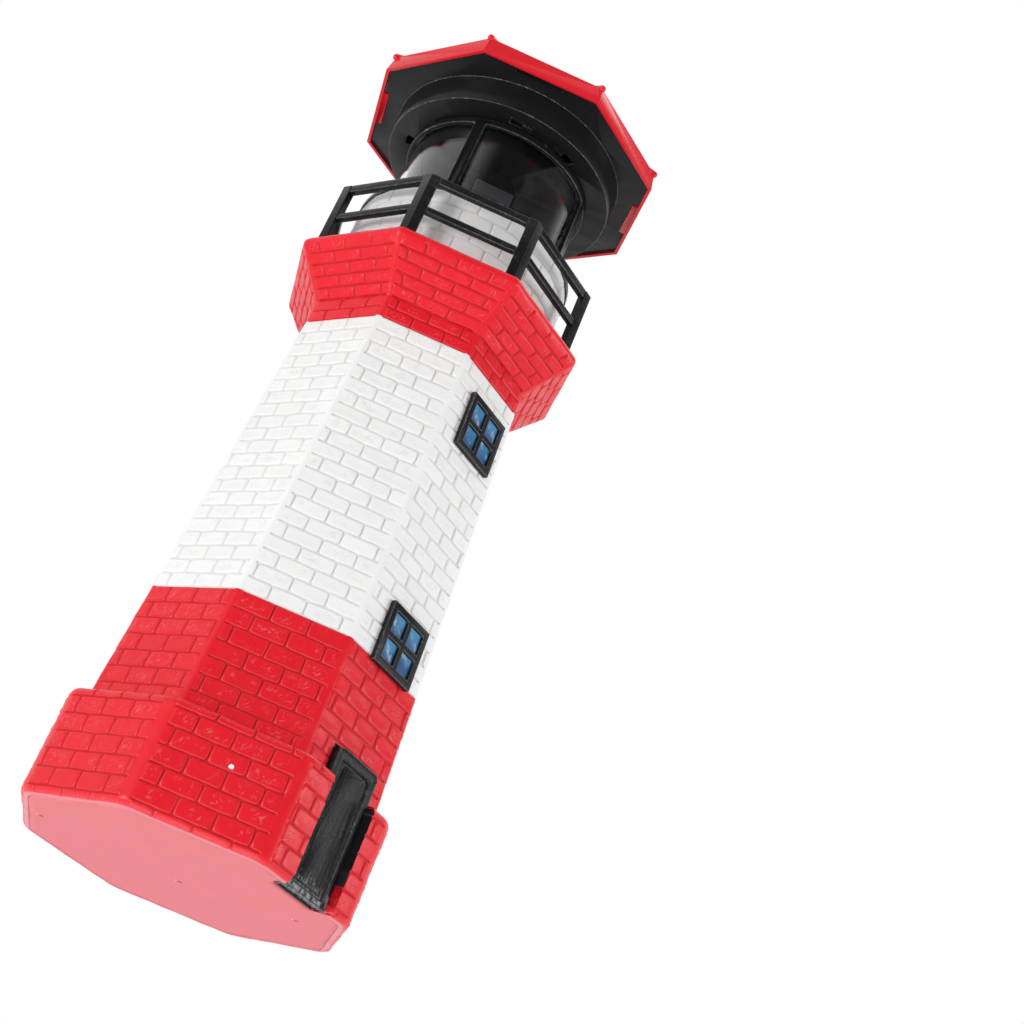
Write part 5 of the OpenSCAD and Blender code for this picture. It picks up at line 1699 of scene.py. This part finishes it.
    def gallery(self) -> bpy.types.Object:
        """The upright red courses and the flare.

        Returns:
            The piece.
        """
        e = 2.4
        lean = math.degrees(math.atan2((self.gallery_r - self.top_r) * FLATNESS, self.gallery_z - self.flare_z - e))
        profile = [(self.top_r, self.neck_z, self.edge), (self.top_r, self.flare_z, self.edge)]
        profile += arc_profile(self.gallery_r, self.gallery_z - e, e, 2.9, -lean, 90, 8)
        profile += [(self.drum_r + 2.0, self.gallery_z, self.edge)]
        wall = CourseWall("red_gallery_courses", Outline.OCTAGON, profile, [], 33.0, 37, top_bed=False)
        lengths = [float(at) for at in wall.lengths()]
        beds = [0.0, lengths[1] / 2, *levels(lengths[1], lengths[2] + 0.8, 5)]
        wall.courses = [*laid(beds, *self.gallery_bond), Course(beds[-1], lengths[-1], None, False)]
        return fit_out(wall.build(), self.body, SHOP.red_brick, "tower_red", "gallery_section")

    def drum(self) -> bpy.types.Object:
        """The white drum behind the railing.

        Returns:
            The piece.
        """
        profile = [(self.drum_r, z, 0.0) for z in (self.gallery_z, self.gallery_z + self.drum_h)]
        courses = laid(levels(0, self.drum_h, 5), *self.drum_bond)
        wall = CourseWall("white_drum_courses", Outline.ROUND, profile, courses, 36.5, 51, top_bed=False)
        return fit_out(wall.build(), self.body, SHOP.white_brick, "tower_white", "gallery_drum")

    def fittings(self) -> None:
        """The door, the windows and the railing."""
        keep_node("door", SHOP.door_paint, 0.4, edge=SHOP.rubbed_edge_highlight)
        for which, foot in self.pane_feet:
            keep_node(f"{which}_window_frame", SHOP.frame_paint, 0.35, edge=SHOP.rubbed_edge_highlight)
            panes = PaintedPane(f"{which} window blue", srgb(84, 156, 204), srgb(24, 82, 132), srgb(206, 228, 242),
                                foot, self.pane_h)
            keep_node(f"{which}_window_panes", panes)
        for node in ("railing_posts", "railing_top_rail", "railing_mid_rail"):
            keep_node(node, SHOP.rail_paint, 0.4, edge=SHOP.rubbed_edge_highlight)

    def build(self) -> None:
        """Builds the whole tower."""
        self.base()
        self.underside()
        self.shaft()
        self.gallery()
        self.drum()
        self.fittings()


# The lantern -------------------------------------------------------------------------------------------------


class Lantern:
    """The lantern that lifts out of the drum."""

    def build(self) -> None:
        """Dresses the foot, the cage and the tube."""
        keep_node("lantern_foot", SHOP.black_plastic, 0.2, edge=SHOP.moulded_edge_highlight)
        keep_node("lantern_cage", SHOP.black_plastic, 0.25, edge=SHOP.moulded_edge_highlight)
        keep_node("lantern_tube", SHOP.clear)


# The roof ----------------------------------------------------------------------------------------------------


@dataclass
class Roof:
    """The roof with its housing, panel and works.

    Attributes:
        panel_turn: the direction that the solar panel faces.
        panel_out: how far out its middle lies, in millimetres as the rest.
        panel_sink: how far its face lies under the roof's slope.
        apex_z: the height at which the roof's slopes would meet.
        hip_r: centre to corner of the slopes' lower edge.
        rise: the height of the slopes.
        tab_out: how far out the blackened snap tab reaches.
        tab_z: the height under which it is black.
        tab_half: half its width.
        tab_depth: how far in it reaches.
        cell_size: the cell's width and its length down the slope, in metres.
    """

    panel_turn: float = math.radians(292.5)
    panel_out: float = 27.75
    panel_sink: float = 5.1
    apex_z: float = 339.9
    hip_r: float = 57.7
    rise: float = 32.3
    tab_out: float = 53.15
    tab_z: float = 302.7
    tab_half: float = 9.3
    tab_depth: float = 2.3
    cell_size: tuple[float, float] = (0.043, 0.034)

    def cell(self) -> SolarCell:
        """The solar cell's finish, placed on the panel's face.

        Returns:
            The finish.
        """
        pitch = math.atan2(self.rise, self.hip_r)
        out = Vector((math.cos(self.panel_turn), math.sin(self.panel_turn), 0))
        down = out * math.cos(pitch) - Vector((0, 0, math.sin(pitch)))
        across = Vector((-math.sin(self.panel_turn), math.cos(self.panel_turn), 0))
        middle = out * self.panel_out
        middle.z = self.apex_z - self.panel_out * math.tan(pitch) - self.panel_sink
        return SolarCell("solar cell", srgb(92, 107, 104), srgb(118, 132, 126), srgb(196, 204, 200),
                         tuple(middle * MM), tuple(down), tuple(across), *self.cell_size)

    def on_dark_tab(self, place: Vector) -> bool:
        """Whether a place is on the snap tab that the housing's black rubbed off on.

        Args:
            place: the place in millimetres.

        Returns:
            Whether it is.
        """
        out, across = -(place.x + place.y) * math.sqrt(0.5), (place.x - place.y) * math.sqrt(0.5)
        inward = self.tab_out - out
        return abs(across) < self.tab_half and 0 < inward < self.tab_depth and place.z < self.tab_z

    def build(self) -> None:
        """Dresses the shell, the housing, the panel and the works inside."""
        shell = keep_node("roof_shell", SHOP.roof_plastic, 0.3)
        shell.data.materials.append(SHOP.black_plastic.material())
        for face in shell.data.polygons:
            if self.on_dark_tab((shell.matrix_world @ face.center) / MM):
                face.material_index = 1
        keep_node("finial_ball", SHOP.roof_plastic)
        keep_node("lamp_housing", SHOP.black_plastic, 0.22, edge=SHOP.moulded_edge_highlight)
        keep_node("solar_panel", self.cell(), 0.2)
        keep_node("panel_pad", SHOP.foam)
        keep_node("circuit_board", SHOP.board, 0.1)
        keep_node("board_parts", SHOP.chip, 0.2)
        keep_node("battery", SHOP.sleeve, 0.3)
        for node in ("battery_holder", "brush_block", "switch_case"):
            keep_node(node, SHOP.chip, 0.2)
        for node in ("board_screws", "bracket_screws", "battery_spring", "motor_bracket", "gear_motor",
                     "thrust_washer"):
            keep_node(node, SHOP.steel)
        for node in ("battery_contact", "brushes"):
            keep_node(node, SHOP.brass)
        wires = {"panel_wires": srgb(170, 34, 28), "battery_wires": srgb(214, 209, 196),
                 "motor_wires": srgb(30, 78, 160), "switch_wires": srgb(44, 44, 46), "brush_wires": srgb(196, 124, 34)}
        for node, colour in wires.items():
            keep_node(node, wire_finish(node.replace("_", " "), colour), 0.0, 80)


class Switch:
    """The knob of the slide switch."""

    def build(self) -> None:
        """Dresses the knob."""
        keep_node("switch_knob", SHOP.black_plastic, 0.1, edge=SHOP.moulded_edge_highlight)


class RevolvingLamp:
    """The lamp that turns in the lantern, and its drive."""

    def build(self) -> None:
        """Dresses the lamp, its gear and the pinion."""
        keep_node("lamp_block", SHOP.lamp_plastic, 0.25)
        keep_node("lamp_plates", SHOP.plate_plastic, 0.15)
        keep_node("lamp_leds", SHOP.clear_lamp)
        keep_node("lens_caps", SHOP.clear_lamp)
        for node in ("lamp_gear", "slip_sleeve"):
            keep_node(node, SHOP.nylon)
        for node in ("slip_rings", "drive_pinion"):
            keep_node(node, SHOP.brass)
        keep_node("motor_shaft", SHOP.steel)
        keep_node("lamp_wires", wire_finish("lamp wires", srgb(170, 34, 28)), 0.0, 80)


# The studio --------------------------------------------------------------------------------------------------


@dataclass
class Studio:
    """Floor, lights, world and camera.

    Attributes:
        place: the camera's place in metres.
        right: the camera's rightward direction.
        down: its downward direction.
        ahead: its view direction.
        lens: its focal length in millimetres on a 36 mm sensor.
        ambient: the strength of the even light from all round.
        dark_side: the direction of the studio's unlit side, which only gloss shows.
        floor_z: the floor's height in metres, just under the tower.
        floor_reach: how far the floor reaches to each side, in metres.
        aim_z: the height that the lamps look at, in metres.
    """

    place: Point = (-0.36592, -0.39005, -0.12304)
    right: Point = (0.47857, -0.81356, 0.33028)
    down: Point = (0.57395, 0.00519, -0.81887)
    ahead: Point = (0.66449, 0.58145, 0.46943)
    lens: float = 60.69
    ambient: float = 0.6
    dark_side: Point = (-0.08, -0.93, 0.35)
    floor_z: float = -0.0003
    floor_reach: float = 6.0
    aim_z: float = 0.17

    def floor(self) -> None:
        """A pale floor that is seen only from above and keeps the object's shadow."""
        mesh = bpy.data.meshes.new("pale_floor")
        reach = self.floor_reach
        corners = [(x * reach, y * reach, self.floor_z) for x, y in ((-1, -1), (1, -1), (1, 1), (-1, 1))]
        mesh.from_pydata(corners, [], [(0, 1, 2, 3)])
        floor = new_object("pale_floor", mesh)
        made = bpy.data.materials.new("pale floor")
        made.use_nodes = True
        sheet = NodeSheet(made.node_tree)
        shader = made.node_tree.nodes["Principled BSDF"]
        shader.inputs["Base Color"].default_value = (0.86, 0.86, 0.86, 1)
        shader.inputs["Roughness"].default_value = 0.9
        shader.inputs["Specular IOR Level"].default_value = 0.1
        clear = sheet.put("ShaderNodeBsdfTransparent")
        behind = sheet.put("ShaderNodeNewGeometry").outputs["Backfacing"]
        mixed = sheet.put("ShaderNodeMixShader", {0: behind, 1: shader.outputs[0], 2: clear.outputs[0]})
        sheet.feed(made.node_tree.nodes["Material Output"].inputs["Surface"], mixed.outputs[0])
        floor.data.materials.append(made)
        floor.visible_shadow = False
        floor.visible_diffuse = False
        floor.visible_glossy = False

    def lamp(self, name: str, place: Point, power: float, size: float) -> None:
        """A soft square lamp that looks at the object.

        Args:
            name: its name.
            place: where it hangs, in metres.
            power: its power in watts.
            size: its width in metres.
        """
        data = bpy.data.lights.new(name, "AREA")
        data.energy = power
        data.size = size
        lamp = bpy.data.objects.new(name, data)
        bpy.context.scene.collection.objects.link(lamp)
        lamp.location = place
        lamp.rotation_euler = (Vector((0, 0, self.aim_z)) - Vector(place)).to_track_quat("-Z", "Y").to_euler()

    def world(self) -> None:
        """White to the camera, through glass and to gloss, but for the studio's dark side, and soft light else."""
        world = bpy.data.worlds.new("studio")
        bpy.context.scene.world = world
        world.use_nodes = True
        sheet = NodeSheet(world.node_tree)
        path = sheet.put("ShaderNodeLightPath").outputs
        seen = sheet.math("MAXIMUM", path["Is Camera Ray"], path["Is Transmission Ray"])
        strength = sheet.math("MULTIPLY_ADD", seen, 1.0 - self.ambient, self.ambient)
        way = sheet.put("ShaderNodeTexCoord").outputs["Generated"]
        to_dark = sheet.put("ShaderNodeVectorMath", {0: way, 1: self.dark_side}, operation="DOT_PRODUCT")
        glossy = sheet.math("SUBTRACT", sheet.ramp(to_dark.outputs["Value"], 0.3, 0.7, 1.0, 0.08), strength)
        strength = sheet.math("MULTIPLY_ADD", glossy, path["Is Glossy Ray"], strength)
        background = world.node_tree.nodes["Background"]
        background.inputs["Color"].default_value = (1, 1, 1, 1)
        sheet.feed(background.inputs["Strength"], strength)

    def camera(self) -> None:
        """The camera, at the photograph's viewing angle."""
        data = bpy.data.cameras.new("camera")
        data.lens = self.lens
        data.sensor_width = 36
        data.clip_start, data.clip_end = 0.01, 50
        camera = bpy.data.objects.new("camera", data)
        bpy.context.scene.collection.objects.link(camera)
        axes = Matrix((self.right, tuple(-c for c in self.down), tuple(-c for c in self.ahead))).transposed()
        camera.matrix_world = Matrix.Translation(self.place) @ axes.to_4x4()
        bpy.context.scene.camera = camera

    def build(self) -> None:
        """Builds the studio."""
        self.floor()
        self.world()
        self.lamp("left_light", (-1.15, 0.12, -0.15), 6.0, 0.35)
        self.lamp("right_light", (0.7, -1.1, 0.2), 6.0, 0.6)
        self.lamp("under_light", (-0.3, -0.3, -1.05), 5.0, 0.9)
        self.lamp("top_light", (0.3, -0.2, 1.4), 5.0, 1.0)
        self.camera()
        bpy.context.scene.view_settings.view_transform = "Standard"


def main() -> None:
    """Builds the sub-assemblies in order."""
    logging.basicConfig(level=logging.INFO, format="%(name)s: %(message)s")
    Tower().build()
    Lantern().build()
    Roof().build()
    Switch().build()
    RevolvingLamp().build()
    Studio().build()


if __name__ == "__main__":
    main()
